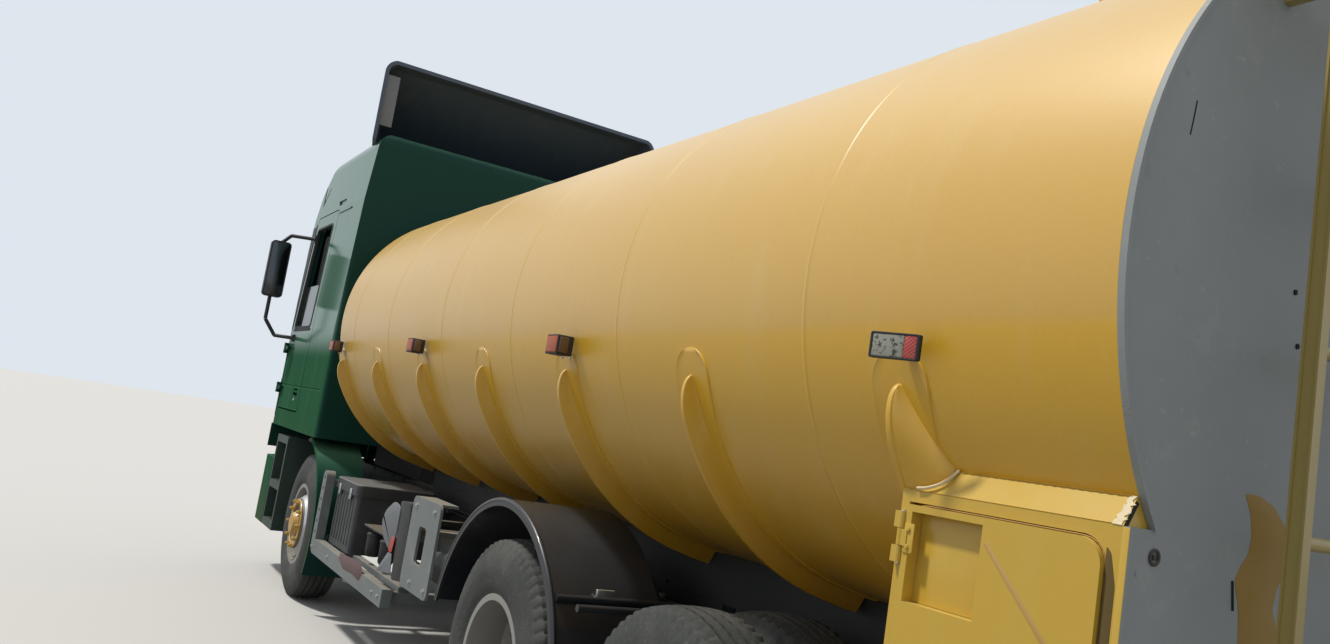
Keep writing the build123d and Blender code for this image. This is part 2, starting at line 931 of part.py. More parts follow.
def wheel_disc(x, y_hub, y_wall):
    """The dished disc between the hub and the barrel, with hand holes and a nut ring."""
    inner = rim_radius - rim_wall + 1
    t = disc_thickness
    seat = wheel_studs_radius + nut_ring_width / 2 + 9
    outline = [(hub_radius - 5, y_hub), (wheel_studs_radius - nut_ring_width / 2, y_hub),
               (wheel_studs_radius - nut_ring_width / 2 + 4, y_hub + nut_ring_height),
               (wheel_studs_radius + nut_ring_width / 2 - 4, y_hub + nut_ring_height),
               (wheel_studs_radius + nut_ring_width / 2, y_hub), (seat, y_hub), (inner, y_wall),
               (inner, y_wall - t), (seat - 4, y_hub - t), (hub_radius - 5, y_hub - t)]
    disc = turned(outline, x, tyre_radius)
    lower = min(y_hub, y_wall) - 3 * t
    upper = max(y_hub, y_wall) + 3 * t
    for k in range(hand_hole_count):
        angle = 2 * pi * (k + 0.5) / hand_hole_count
        hx = x + (hand_hole_circle + 12) * cos(angle)
        hz = tyre_radius + (hand_hole_circle + 12) * sin(angle)
        disc = disc - rod((hx, lower, hz), (hx, upper, hz), hand_hole_radius)
    return disc


def front_rim():
    """A front wheel: its disc is dished outward and carries the hub cap."""
    y_out = front_track_outer
    middle = y_out - tyre_width / 2
    pieces = [rim_barrel(x_axle_1, middle), wheel_disc(x_axle_1, y_out - 22, y_out - 110)]
    hub = ring_y(x_axle_1, tyre_radius, middle - 60, y_out - 20, hub_radius)
    cap = turned([(0, y_out - 20), (hub_radius - 8, y_out - 20), (hub_radius - 22, y_out + 30),
                  (0, y_out + 34)], x_axle_1, tyre_radius)
    bore = ring_y(x_axle_1, tyre_radius, middle - 61, y_out - 60, hub_bore)
    return fuse(pieces) + hub + cap - bore


def front_tyre():
    return tyre(x_axle_1, front_track_outer - tyre_width / 2)


def twin_middles():
    outer = rear_track_outer - tyre_width / 2
    return [outer, outer - twin_spacing]


def twin_tyres(x):
    return [tyre(x, y) for y in twin_middles()]


def twin_rims(x):
    """Two rims back to back on one hub, the outer disc set deep inside."""
    outer, inner = twin_middles()
    seam = (outer + inner) / 2
    pieces = [rim_barrel(x, outer), rim_barrel(x, inner)]
    pieces.append(wheel_disc(x, seam + 8, outer - 30))
    pieces.append(ring_y(x, tyre_radius, inner + rim_width / 2 - 16, inner + rim_width / 2 + 8,
                         rim_radius - rim_wall + 1, hub_bore + 30))
    drum = ring_y(x, tyre_radius, inner - 60, seam + 2, wheel_studs_radius + 14)
    hub = turned([(0, seam), (hub_radius + 20, seam), (hub_radius, outer + 60),
                  (hub_radius - 18, outer + 86), (0, outer + 86)], x, tyre_radius)
    bore = ring_y(x, tyre_radius, inner - 61, outer - 20, hub_bore)
    return fuse(pieces) + drum + hub - bore


def kingpin_y():
    return front_track_outer - tyre_width - kingpin_inset


def front_axle():
    """The dropped beam with an eye at each end, and its two leaf springs."""
    y_pin = kingpin_y()
    z = tyre_radius
    low = z - beam_drop + 70 - beam_depth
    top = low + beam_depth
    half = [(0, low), (rail_outer + 5, low), (y_pin - 90, z - 50), (y_pin, z - 50), (y_pin, z + 50),
            (y_pin - 100, z + 50), (rail_outer + 5, top), (0, top)]
    beam = cross_plate(half, x_axle_1 - beam_half_width, x_axle_1 + beam_half_width)
    beam = beam + Pos(x_axle_1, y_pin, z) * Cylinder(beam_eye_radius, 100)
    beam = beam - Pos(x_axle_1, y_pin, z) * Cylinder(kingpin_radius + pin_gap, 120)
    beam = fuse(both_sides(beam))
    spring = leaf_spring(x_axle_1, top + seat_gap, front_spring_reach)
    return [beam] + both_sides(spring)


def spring_stack(x, z_middle, reach, camber, way):
    """Curved leaves, each shorter than the last: way 1 curves its ends up, -1 down."""
    y0 = rail_outer - rail_width
    bend = reach ** 2 / (2 * camber)
    leaves = []
    for i in range(spring_leaves):
        r0 = bend + i * leaf_pitch if way > 0 else bend - i * leaf_pitch - leaf_thickness
        half = (1 - spring_taper * i) * reach / bend * 180 / pi
        centre = z_middle + way * bend
        middle = -90 * way
        leaves.append(band(x, centre, r0, r0 + leaf_thickness, middle - half, middle + half, y0, rail_outer))
    return fuse(leaves)


def leaf_spring(x, z_low, reach):
    """The front spring: a stack of leaves on the axle, hung from a bracket at each end."""
    y0 = rail_outer - rail_width
    stack = (spring_leaves - 1) * leaf_pitch + leaf_thickness
    spring = spring_stack(x, z_low + stack, reach, front_spring_camber, 1)
    end = z_low + stack + front_spring_camber
    for side in (-1, 1):
        xs = x + side * (reach - 24)
        spring = spring + box(xs - 22, xs + 22, y0 + 8, rail_outer - 8, end - 34, rail_bottom - seat_gap)
    clamp = box(x - 70, x + 70, y0 + 1, rail_outer - 1, z_low, z_low + stack + 18)
    return spring + clamp


def knuckle():
    """The fork round the beam's eye, with kingpin, spindle and brake drum plate."""
    y_pin = kingpin_y()
    z = tyre_radius
    pin = Pos(x_axle_1, y_pin, z) * Cylinder(kingpin_radius, 230)
    arms = fuse([box(x_axle_1 - 45, x_axle_1 + 45, y_pin - 45, y_pin + 75, z0, z0 + 50)
                 for z0 in (z + 58, z - 108)])
    post = box(x_axle_1 - 50, x_axle_1 + 50, y_pin + 62, y_pin + 92, z - 108, z + 108)
    middle = front_track_outer - tyre_width / 2
    spindle = ring_y(x_axle_1, z, y_pin + 70, front_track_outer - 66, hub_bore - pin_gap)
    drum = ring_y(x_axle_1, z, y_pin + 80, middle - 62 - pin_gap, 190)
    return fuse([pin, arms, post, spindle, drum])


def rear_bogie():
    """Two driven axles with their drive shafts, and the bogie's springs between them."""
    inner = twin_middles()[1]
    z = tyre_radius
    end = inner - 62 - pin_gap
    reach = axle_case_radius
    drive = []
    for x in (x_axle_2, x_axle_3):
        drive.append(ring_y(x, z, -end, end, axle_tube_radius))
        drive.append(ring_y(x, z, -twin_middles()[0] + 22, twin_middles()[0] - 22, hub_bore - pin_gap))
        case = Pos(x, 0, z) * Sphere(reach)
        half = axle_case_half
        drive.append(case & box(x - reach + 15, x + reach - 15, -half, half, z - reach + 5, z + reach - 5))
        drive.append(rod((x, 0, z + pinion_rise), (x + pinion_length, 0, z + pinion_rise), pinion_radius))
    low = z + pinion_rise
    end_x = engine_rear() - seat_gap
    high = engine_bottom + engine_sump_rise
    drive.append(rod((x_axle_3 + pinion_length - 30, 0, low), (x_axle_2 - 100, 0, low), shaft_radius))
    drive.append(rod((x_axle_2 + pinion_length - 20, 0, low), (end_x, 0, high - shaft_radius / 2),
                     shaft_radius))
    y0 = rail_outer - rail_width
    seat = z + axle_tube_radius + 12
    for x in (x_axle_2, x_axle_3):
        drive += both_sides(box(x - 60, x + 60, y0 + 6, rail_outer - 6, z, seat))
    middle = (x_axle_2 + x_axle_3) / 2
    half_pitch = tandem_pitch / 2 + 50
    stack = (spring_leaves - 1) * leaf_pitch + leaf_thickness
    top = seat + seat_gap + leaf_thickness + bogie_spring_camber
    spring = spring_stack(middle, top, half_pitch, bogie_spring_camber, -1)
    saddle = box(middle - 90, middle + 90, y0 + 1, rail_outer - 1, top - stack - 16, rail_bottom - seat_gap)
    return [fuse(drive)] + both_sides(spring + saddle)


def engine_rear():
    return x_cab_rear + engine_offset


def engine_block():
    """One plain block for the engine and gearbox between the rails."""
    half = rail_outer - rail_width - seat_gap
    x0 = engine_rear()
    x1 = x0 + engine_length
    sump_top = engine_bottom + engine_sump_rise
    sump_half = half - engine_sump_inset
    block = box(x0, x1, -half, half, sump_top, engine_top)
    return block + box(x0 + engine_sump_rear, x1 - engine_sump_front, -sump_half, sump_half,
                       engine_bottom, sump_top + 10)


def front_bumper():
    """The bumper with its side returns, recessed lamp places and brackets to the frame."""
    x1 = x_front
    x0 = x1 - bumper_return
    outer = box(x0, x1, -bumper_half_width, bumper_half_width, bumper_bottom, bumper_top)
    front_edges = outer.edges().filter_by(Axis.Z).sort_by(Axis.X)[-2:]
    outer = fillet(front_edges, bumper_corner)
    half = bumper_half_width - bumper_thickness
    inner = box(x0 - 1, x1 - bumper_thickness, -half, half, bumper_bottom - 1, bumper_top + 1)
    inner_edges = inner.edges().filter_by(Axis.Z).sort_by(Axis.X)[-2:]
    bar = outer - fillet(inner_edges, bumper_corner - 30)
    for y in (headlamp_side, -headlamp_side):
        bar = bar - box(x1 - headlamp_recess, x1 + 1, y - headlamp_half_length, y + headlamp_half_length,
                        headlamp_bottom, headlamp_top)
        bar = bar - rod((x1 - headlamp_recess, y, fog_lamp_height), (x1 + 1, y, fog_lamp_height),
                        fog_lamp_radius)
    rail_end = rail_front()
    for y in (rail_outer - 40, 40 - rail_outer):
        bar = bar + box(rail_end + seat_gap, x1 - bumper_thickness + 5, y - 30, y + 30,
                        rail_bottom - bumper_mount_drop, rail_top - 160)
    return bar


def headlamps():
    """The lamp units that fill the bumper's recesses."""
    x0 = x_front - headlamp_recess + seat_gap
    length = headlamp_half_length - 5
    lamp = box(x0, x_front - 1, headlamp_side - length, headlamp_side + length, headlamp_bottom + 5,
               headlamp_top - 5)
    fog = rod((x0, headlamp_side, fog_lamp_height), (x_front - 1, headlamp_side, fog_lamp_height),
              fog_lamp_radius - 4)
    return both_sides(lamp) + both_sides(fog)


def cab_steps():
    """A step box below each door, ahead of the front wheel."""
    x1 = x_front - bumper_return - seat_gap
    x0 = x_axle_1 + tyre_radius + step_gap
    y1 = cab_half_width - 12
    y0 = y1 - step_depth
    wall = step_wall
    top = cab_floor - step_drop
    lower = bumper_bottom + step_tread
    upper = lower + lower_step_height + step_tread
    step = box(x0, x1, y0, y1, bumper_bottom, top)
    for z0, z1 in ((lower, lower + lower_step_height), (upper, top - step_tread)):
        step = step - box(x0 + wall, x1 - wall, y0 + wall, y1 + 1, z0, z1)
    arm = box(x0 + 60, x0 + 130, rail_outer + seat_gap, y0 + 1, rail_bottom + 40, rail_bottom + 120)
    arm_front = box(x1 - 130, x1 - 60, rail_outer + seat_gap, y0 + 1, rail_bottom + 40, rail_bottom + 120)
    return both_sides(step + arm + arm_front)


def front_fenders():
    """The curved guard behind each front wheel, on a bracket from the frame."""
    inner = tyre_radius + fender_gap
    guard = arch(x_axle_1, inner, fender_thickness, fender_start, fender_end, fender_inner, fender_outer)
    flange = arch(x_axle_1, inner - fender_flange, fender_flange + 1, fender_start, fender_end,
                  fender_outer - 6, fender_outer)
    x0 = x_axle_1 - inner - 50
    x1 = x_axle_1 - inner - fender_thickness / 2
    arm = box(x0, x1, rail_outer + seat_gap, fender_outer - 105, tyre_radius - 20, tyre_radius + 20)
    hanger = box(x0, x1, rail_outer + seat_gap, rail_outer + 40, tyre_radius, rail_top - 60)
    return both_sides(guard + flange + arm + hanger)


def band(x, z, inner, outer, start, end, y0, y1):
    """A curved strip about a point of the XZ plane, between two angles."""
    def at(radius, angle):
        return (x + radius * cos(radians(angle)), y0, z + radius * sin(radians(angle)))

    middle = (start + end) / 2
    edges = [ThreePointArc(at(inner, start), at(inner, middle), at(inner, end)),
             Line(at(inner, end), at(outer, end)),
             ThreePointArc(at(outer, end), at(outer, middle), at(outer, start)),
             Line(at(outer, start), at(inner, start))]
    return extrude(make_face(Wire(edges)), amount=y1 - y0, dir=(0, 1, 0))


def arch(x, inner, thickness, start, end, y0, y1):
    """A curved sheet round a wheel, between two angles from straight ahead."""
    return band(x, tyre_radius, inner, inner + thickness, start, end, y0, y1)


def mudguards():
    """Guards over the twin wheels with their stays; the left rear one is missing."""
    pieces = []
    # axle, side, whether its guard is there, the guard's inner edge
    places = [(x_axle_2, 1, True, guard_inner), (x_axle_2, -1, True, guard_inner),
              (x_axle_3, 1, False, guard_inner_rear), (x_axle_3, -1, True, guard_inner_rear)]
    for x, side, fitted, inner in places:
        shape = guard_stay(x, inner)
        if fitted:
            guard = arch(x, guard_radius, guard_thickness, guard_start, guard_end, inner, guard_outer)
            lip = arch(x, guard_radius - guard_lip_depth, guard_lip_depth + 2, guard_start, guard_end,
                       guard_outer - guard_lip_width, guard_outer)
            shape = guard + lip + shape
        pieces.append(shape if side > 0 else other_side(shape))
    return pieces


def guard_stay(x, inner):
    """Round bars on foot plates from the frame rail, one at each end of a guard."""
    bars = []
    for angle in (guard_start + 23, guard_end - 20):
        reach = guard_radius + guard_thickness + stay_radius - 2
        xs = x + reach * cos(radians(angle))
        zs = tyre_radius + reach * sin(radians(angle))
        z_rail = rail_top - 60
        y_rail = rail_outer + seat_gap
        bar = rod((xs, inner - 60, zs), (xs, guard_outer - 20, zs), stay_radius)
        bar = bar + rod((xs, y_rail + 8, z_rail), (xs, inner - 56, zs), stay_radius)
        bar = bar + Pos(xs, inner - 58, zs) * Sphere(stay_radius + 0.5)
        bars.append(bar + box(xs - 40, xs + 40, y_rail, y_rail + 12, z_rail - 40, z_rail + 40))
    return bars[0] + bars[1]


def carrier_front():
    return x_cab_rear - carrier_gap


def carrier_rear():
    return carrier_front() - carrier_length


def carrier_channel():
    """The carrier's outer channel: an upright with a row of holes that turns into the lower rail."""
    x1 = carrier_front()
    x0 = carrier_rear()
    z0 = carrier_bottom
    face = side_face([(x0, z0), (x1, z0), (x1, carrier_top), (x1 - carrier_post_depth, carrier_top),
                      (x1 - carrier_post_depth, z0 + carrier_rail_height), (x0, z0 + carrier_rail_height)])
    foot = [v for v in face.vertices() if abs(v.X - x1) < 1 and abs(v.Z - z0) < 1]
    face = fillet(foot, carrier_foot_radius)
    head = [v for v in face.vertices() if abs(v.Z - carrier_top) < 1]
    face = fillet(head, carrier_post_depth / 2 - 2)
    y1 = carrier_side
    y0 = y1 - carrier_thickness
    channel = extrude(Pos(0, y0, 0) * face, amount=carrier_thickness, dir=(0, 1, 0))
    inside = offset(face, amount=-carrier_wall)
    channel = channel - extrude(Pos(0, y0 - 1, 0) * inside, amount=carrier_thickness - carrier_wall + 1,
                                dir=(0, 1, 0))
    for i in range(carrier_hole_count):
        z = carrier_top - carrier_post_depth / 2 - i * carrier_hole_pitch
        x = x1 - carrier_post_depth / 2
        channel = channel - rod((x, y1 - carrier_wall - 1, z), (x, y1 + 1, z), carrier_hole_radius)
    return channel


def side_carrier():
    """The grey bracket frame on the left that carries the battery box, and a bracket plate."""
    x1 = carrier_front()
    x0 = carrier_rear()
    z0 = carrier_bottom
    web = carrier_side - carrier_wall + 1
    wall = rail_outer + seat_gap
    width = carrier_arm_width
    pieces = [carrier_channel()]
    for xa in (x0 + 40, x1 - 90):
        pieces.append(box(xa, xa + width, wall, web, z0 + 20, z0 + 80))
        pieces.append(box(xa, xa + width, wall, rail_outer + 50, z0 + 20, rail_top - 40))
    pieces.append(box(x1 - 80, x1 - 20, wall, web, carrier_top - 100, carrier_top - 60))
    for y in (carrier_bearer_inner, carrier_bearer_outer):
        pieces.append(box(x0 + 50, x1 - 40, y, y + 50, z0 + 79, battery_bottom - seat_gap))
    return [fuse(pieces), bracket_plate()]


def bracket_plate():
    """A grey plate with a window, on two arms from the rail, with a folded edge on top."""
    x0 = x_axle_2 + tyre_radius + bracket_plate_offset
    x1 = x0 + bracket_plate_length
    y1 = carrier_side
    y0 = y1 - bracket_plate_thickness
    top = bracket_plate_top
    face = side_face([(x0, bracket_plate_bottom), (x1, bracket_plate_bottom), (x1, top), (x0, top)])
    face = fillet(face.vertices(), 40)
    plate = extrude(Pos(0, y0, 0) * face, amount=bracket_plate_thickness, dir=(0, 1, 0))
    xw = (x0 + x1) / 2 - bracket_window_length / 2
    zw = (bracket_plate_bottom + top) / 2 - bracket_window_height / 2
    window = box(xw, xw + bracket_window_length, y0 - 1, y1 + 1, zw, zw + bracket_window_height)
    plate = plate - fillet(window.edges().filter_by(Axis.Y), 25)
    fold = box(x0 + 40, x1 - 40, y0 - bracket_gusset, y0 + 1, top - bracket_plate_thickness, top)
    arms = [box(xa, xa + carrier_arm_width, rail_outer + seat_gap, y0 + 1, rail_top - 110, rail_top - 50)
            for xa in (x0 + 50, x1 - 50 - carrier_arm_width)]
    return fuse([plate, fold] + arms)


def battery_box():
    """The battery box with rounded upright edges and a lid that laps over it."""
    x1 = carrier_front() - battery_setback
    x0 = x1 - battery_length
    y0 = battery_inner
    y1 = y0 + battery_width
    top = battery_bottom + battery_height
    body = box(x0, x1, y0, y1, battery_bottom, top)
    body = fillet(body.edges().filter_by(Axis.Z), battery_corner)
    lap = battery_lid_lap
    lid = box(x0 - lap, x1 + lap, y0 - lap, y1 + lap, top - battery_lid_height, top + lap)
    lid = fillet(lid.edges().filter_by(Axis.Z), battery_corner + lap)
    lid = fillet(lid.faces().sort_by(Axis.Z)[-1].edges(), lap - 2)
    return body + lid


def air_tanks():
    """Two round air tanks beside the frame, on two cross bars from its rail."""
    x0 = x_axle_2 + tyre_radius + air_tank_offset
    z = air_tank_height
    pieces = []
    for y in (air_tank_inner, air_tank_inner + air_tank_pitch):
        body = Rot(0, 90, 0) * Cylinder(air_tank_radius, air_tank_length)
        body = Pos(x0 + air_tank_length / 2, y, z) * body
        pieces.append(fillet(body.edges(), air_tank_end))
    low = z - air_tank_radius
    y_far = air_tank_inner + air_tank_pitch + air_tank_radius / 2
    for x in (x0 + 120, x0 + air_tank_length - 170):
        y_rail = rail_outer + seat_gap
        pieces.append(box(x, x + 50, y_rail, y_far, low - 25, low + 4))
        pieces.append(box(x, x + 50, y_rail, y_rail + 20, low - 25, rail_bottom + 120))
    return fuse(pieces)


def fuel_tank():
    """The fuel tank on the right with rounded long edges and two straps."""
    x0 = x_axle_2 + tyre_radius + fuel_tank_offset
    x1 = silencer_front() - silencer_length - fuel_tank_gap
    y1 = -fuel_tank_inner
    y0 = y1 - fuel_tank_width
    z0 = fuel_tank_bottom
    z1 = z0 + fuel_tank_height
    body = box(x0, x1, y0, y1, z0, z1)
    body = fillet(body.edges().filter_by(Axis.X), fuel_tank_corner)
    half = strap_width / 2
    t = strap_thickness
    brackets = []
    for x in (x0 + strap_inset, x1 - strap_inset):
        brackets.append(box(x - half, x + half, y1 - 5, -rail_outer - seat_gap, rail_bottom - 60,
                            rail_top - 80))
        strap = box(x - half, x + half, y0 - t, y1 + t, z0 - t, z1 + t)
        brackets.append(fillet(strap.edges().filter_by(Axis.X), fuel_tank_corner + t / 2))
    return fuse([body] + brackets)


def silencer_front():
    return x_axle_1 - tyre_radius - fender_gap - silencer_gap


def silencer():
    """The silencer on the right with rounded edges, on a bracket from the rail."""
    x1 = silencer_front()
    y1 = -silencer_inner
    z1 = silencer_bottom + silencer_height
    body = box(x1 - silencer_length, x1, y1 - silencer_width, y1, silencer_bottom, z1)
    body = fillet(body.edges().filter_by(Axis.Y), silencer_corner)
    x = x1 - silencer_length / 2
    return body + box(x - 40, x + 40, y1 - 10, -rail_outer - seat_gap, rail_bottom + 30, rail_top - 120)


def rear_bumper():
    """The under-run bar across the rear, on two plates from the rails."""
    x0 = x_rear + bar_inset
    z0 = bar_bottom
    z1 = z0 + bar_height
    bar = box(x0, x0 + bar_height, -bar_half_width, bar_half_width, z0, z1)
    bar = fillet(bar.edges().filter_by(Axis.Y), 12)
    end = x_tank_rear + 320
    low = rail_bottom - seat_gap
    plate = side_plate([(end, low), (x_tank_rear + 60, low), (x0 + bar_height - 5, z1 - 5),
                        (x0 + bar_height - 5, z0 + 5), (x0 + bar_height + 60, z0 + 5), (end, low - 80)],
                       rail_outer - 50, rail_outer - 30)
    return fuse([bar] + both_sides(plate))


def tail_lamps():
    """A long lamp unit on each end of the under-run bar."""
    x0 = x_rear + 20
    z0 = bar_bottom + bar_height + seat_gap
    lamp = box(x0, x0 + tail_lamp_depth, tail_lamp_side, tail_lamp_side + tail_lamp_length, z0,
               z0 + tail_lamp_height)
    return both_sides(fillet(lamp.edges().filter_by(Axis.X), 12))


def marker_lamps():
    """Lamps on short brackets along both sides of the tank, above every second rib."""
    lamps = []
    z = rib_tip_height() + lamp_rise
    half = lamp_height / 2
    y_wall = side_offset + sqrt(tank_side_radius ** 2 - (z - tank_axis_height) ** 2)
    y0 = y_wall + lamp_reach
    y1 = y0 + lamp_depth
    for rib in rib_places()[::2]:
        x1 = rib + lamp_lead
        x0 = x1 - lamp_length
        housing = box(x0, x1, y0, y1, z - half, z + half)
        lens = box(x0 - lamp_lens, x1 - lamp_lens, y0 + lamp_lens, y1 + lamp_lens, z - half + lamp_lens,
                   z + half - lamp_lens)
        middle = (x0 + x1) / 2
        bracket = under_tank(box(middle - lamp_bracket / 2, middle + lamp_bracket / 2, y_wall - 30, y0 + 1,
                                 z - 4, z + 4))
        lamps += both_sides(housing + lens + bracket)
    return lamps


def cab_side_points():
    """The cab's outline seen from the side, as (x, z) corners."""
    x0 = x_cab_rear
    x1 = x_cab_front
    return [(x0, cab_floor), (x1, cab_floor), (x1, cab_belt), (x1 - header_setback, header_height),
            (x1 - roof_setback, roof_front_height), (x1 - roof_crown_setback, cab_roof), (x0, cab_roof)]


def cab_body(inset):
    """The cab's closed outer form, shrunk by an inset: three outlines intersected.

    The plan and front outlines stand a little outside the others, so that their
    rounded corners meet the flat sides in a faint crease."""
    side = side_face(cab_side_points())
    side = fillet(side.vertices().sort_by(Axis.Z)[-4:], cab_edge_radius)
    width = cab_half_width
    reach = width + cab_crease
    plan = make_face(Polyline([(x_cab_rear - cab_crease, -reach), (x_cab_front + cab_crease, -reach),
                               (x_cab_front + cab_crease, reach), (x_cab_rear - cab_crease, reach)],
                              close=True))
    plan = fillet(plan.vertices().sort_by(Axis.X)[-2:], cab_front_radius)
    plan = fillet(plan.vertices().sort_by(Axis.X)[:2], cab_rear_radius)
    upper = width - side_lean
    crown = upper - roof_lean
    front = make_face(Polyline([(0, -width, cab_floor), (0, width, cab_floor), (0, width, cab_belt),
                                (0, upper, header_height), (0, crown, cab_roof + cab_crease),
                                (0, -crown, cab_roof + cab_crease), (0, -upper, header_height),
                                (0, -width, cab_belt)], close=True))
    front = fillet(front.vertices().sort_by(Axis.Z)[-2:], cab_roof_radius)
    if inset:
        side = offset(side, amount=-inset, kind=Kind.INTERSECTION)
        plan = offset(plan, amount=-inset, kind=Kind.INTERSECTION)
        front = offset(front, amount=-inset, kind=Kind.INTERSECTION)
    solid = extrude(side, amount=2 * width, dir=(0, 1, 0), both=True)
    solid = solid & extrude(Pos(0, 0, cab_roof) * plan, amount=2 * cab_roof, dir=(0, 0, 1), both=True)
    return solid & extrude(front, amount=2 * overall_length, dir=(1, 0, 0), both=True)


def cab_skin(prism, outer, inner):
    """The part of the cab's wall inside a prism, between two depths below its surface."""
    return (cab_body(outer) & prism) - cab_body(inner)


def door_points(gap):
    x0 = x_cab_rear + door_rear_offset + gap
    x1 = x_cab_front - door_front_setback - gap
    return [(x0, door_bottom + gap), (x1, door_bottom + gap), (x1, cab_belt),
            (x1 - door_slant, door_top - gap), (x0, door_top - gap)]


def crease_cut():
    """The pressed line along both of the cab's sides, as the groove to cut."""
    z = cab_floor + crease_height
    half = crease_width / 2
    y0 = cab_half_width - crease_depth
    x0 = x_cab_rear + 2 * cab_rear_radius
    x1 = x_cab_front - cab_front_radius - crease_width
    points = [(y0, z), (cab_half_width + 1, z + half), (cab_half_width + 1, z - half)]
    groove = cross_plate(points, x0, x1)
    return groove + other_side(groove)


def door_window_points(gap):
    x0 = x_cab_rear + door_rear_offset + door_window_rear + gap
    x1 = x_cab_front - door_front_setback - door_window_front - gap
    return [(x0, door_window_bottom + gap), (x1, door_window_bottom + gap),
            (x1 - door_slant, door_window_top - gap), (x0, door_window_top - gap)]


def door_prism(points, corner):
    """A door or window outline with rounded corners, made solid through the left side."""
    face = fillet(side_face(points).vertices(), corner)
    return extrude(Pos(0, cab_half_width - 200, 0) * face, amount=300, dir=(0, 1, 0))


def windscreen_prism(gap):
    half = cab_half_width - windscreen_side - gap
    face = make_face(Polyline([(x_cab_front + 50, -half, windscreen_bottom + gap),
                               (x_cab_front + 50, half, windscreen_bottom + gap),
                               (x_cab_front + 50, half - side_lean, windscreen_top - gap),
                               (x_cab_front + 50, side_lean - half, windscreen_top - gap)],
                              close=True))
    return extrude(fillet(face.vertices(), windscreen_corner), amount=400, dir=(-1, 0, 0))


def cab_shell():
    """The cab: walls, roof, floor with the engine tunnel, apron and hinge arms."""
    width = cab_half_width
    body = cab_body(0)
    shell = body - cab_body(cab_wall)
    tunnel = box(x_cab_rear + 1, x_cab_front - tunnel_front, -tunnel_half_width - tunnel_wall,
                 tunnel_half_width + tunnel_wall, cab_floor, tunnel_top + tunnel_wall)
    hollow = box(x_cab_rear - 1, x_cab_front - tunnel_front - tunnel_wall, -tunnel_half_width,
                 tunnel_half_width, cab_floor - 1, tunnel_top)
    shell = shell + tunnel - hollow
    doorway = door_prism(door_points(0), door_corner)
    shell = shell - doorway - other_side(doorway) - windscreen_prism(0) - crease_cut()
    for part in both_sides(vent_slot()):
        shell = shell - part
    for part in both_sides(gutter()):
        shell = shell + part
    apron = box(x_cab_front - cab_apron_depth, x_cab_front, -width, width, cab_apron_bottom, cab_floor)
    apron = fillet(apron.edges().filter_by(Axis.Z).sort_by(Axis.X)[-2:], cab_apron_depth - 2)
    shell = shell + apron
    for y in (hinge_side, -hinge_side):
        arm = side_plate([(cab_hinge_x() - 40, hinge_height - 30), (cab_hinge_x() + 34, hinge_height - 30),
                          (x_cab_front - 5, hinge_height + 35), (x_cab_front - 5, cab_floor + 5),
                          (cab_hinge_x() - 90, cab_floor + 5)], y - 36, y + 36)
        arm = arm - rod((cab_hinge_x(), y - 40, hinge_height), (cab_hinge_x(), y + 40, hinge_height),
                        hinge_pin_radius + pin_gap)
        shell = shell + arm
    hx, hy = door_hinge()
    for z in door_hinge_heights():
        for part in both_sides(door_hinge_posts(hx, hy, z)):
            shell = shell + part
    return shell


def vent_slot():
    """The slanted air slot in the cab's side, above the door's rear end."""
    x1 = x_cab_rear + door_rear_offset + vent_length / 3
    x0 = x1 - vent_length
    z0 = header_height + vent_rise / 2
    z1 = z0 + vent_height
    y = cab_side_at(z0) - vent_depth
    points = [(x0, z0), (x1 - vent_height, z0), (x1, z1), (x0 + vent_height, z1)]
    return side_plate(points, y, y + 4 * vent_depth)


def gutter():
    """The short drip rail behind the door's top."""
    x1 = x_cab_rear + door_rear_offset - door_gap
    z = header_height - gutter_drop
    y = cab_side_at(z)
    rail = box(x1 - gutter_length, x1, y - 10, y + gutter_depth, z - gutter_width / 2, z + gutter_width / 2)
    return fillet(rail.edges().filter_by(Axis.Y), gutter_width / 2 - 1)


def door_hinge():
    return x_cab_front - door_front_setback + 16, cab_half_width + 22


def door_hinge_heights():
    return [door_bottom + door_hinge_low, cab_belt - door_hinge_high]


def door_hinge_posts(hx, hy, z):
    """The fixed ears and pin of one door hinge."""
    half = door_barrel_length / 2
    ears = []
    for side in (-1, 1):
        z0 = z + side * (half - 14)
        ears.append(rod((hx, hy, z0 - 14), (hx, hy, z0 + 14), door_barrel_radius))
        ears.append(box(hx - 4, hx + 60, cab_half_width - 40, hy + 8, z0 - 14, z0 + 14))
    pin = rod((hx, hy, z - half), (hx, hy, z + half), door_pin_radius)
    return fuse(ears) + pin


def cab_door():
    """A door leaf cut from the cab's side, with its window and hinge barrels."""
    leaf = cab_skin(door_prism(door_points(door_gap), door_corner - door_gap / 2), 0, cab_wall)
    leaf = leaf - door_prism(door_window_points(0), door_window_corner) - crease_cut()
    leaf = leaf - handle_pocket() + handle_grip_bar()
    hx, hy = door_hinge()
    inner = door_barrel_length / 2 - 28 - 1
    for z in door_hinge_heights():
        edge = x_cab_front - door_front_setback - door_gap - 2
        strap = box(hx - door_strap_length, edge, cab_half_width - 3, hy + 8, z - inner, z + inner)
        strap = strap + box(edge - 1, hx - 6, cab_half_width + 2, hy + 8, z - inner, z + inner)
        leaf = leaf + strap + rod((hx, hy, z - inner), (hx, hy, z + inner), door_barrel_radius)
        leaf = leaf - rod((hx, hy, z - inner - 5), (hx, hy, z + inner + 5), door_pin_radius + pin_gap)
    return leaf


def handle_pocket():
    """The recess for the fingers behind the door's handle."""
    x0 = x_cab_rear + door_rear_offset + handle_setback
    z = cab_floor + handle_rise
    half = handle_height / 2
    y0 = cab_half_width - handle_depth
    pocket = box(x0, x0 + handle_length, y0, cab_half_width + 1, z - half, z + half)
    return fillet(pocket.edges().filter_by(Axis.Y), half - 6)


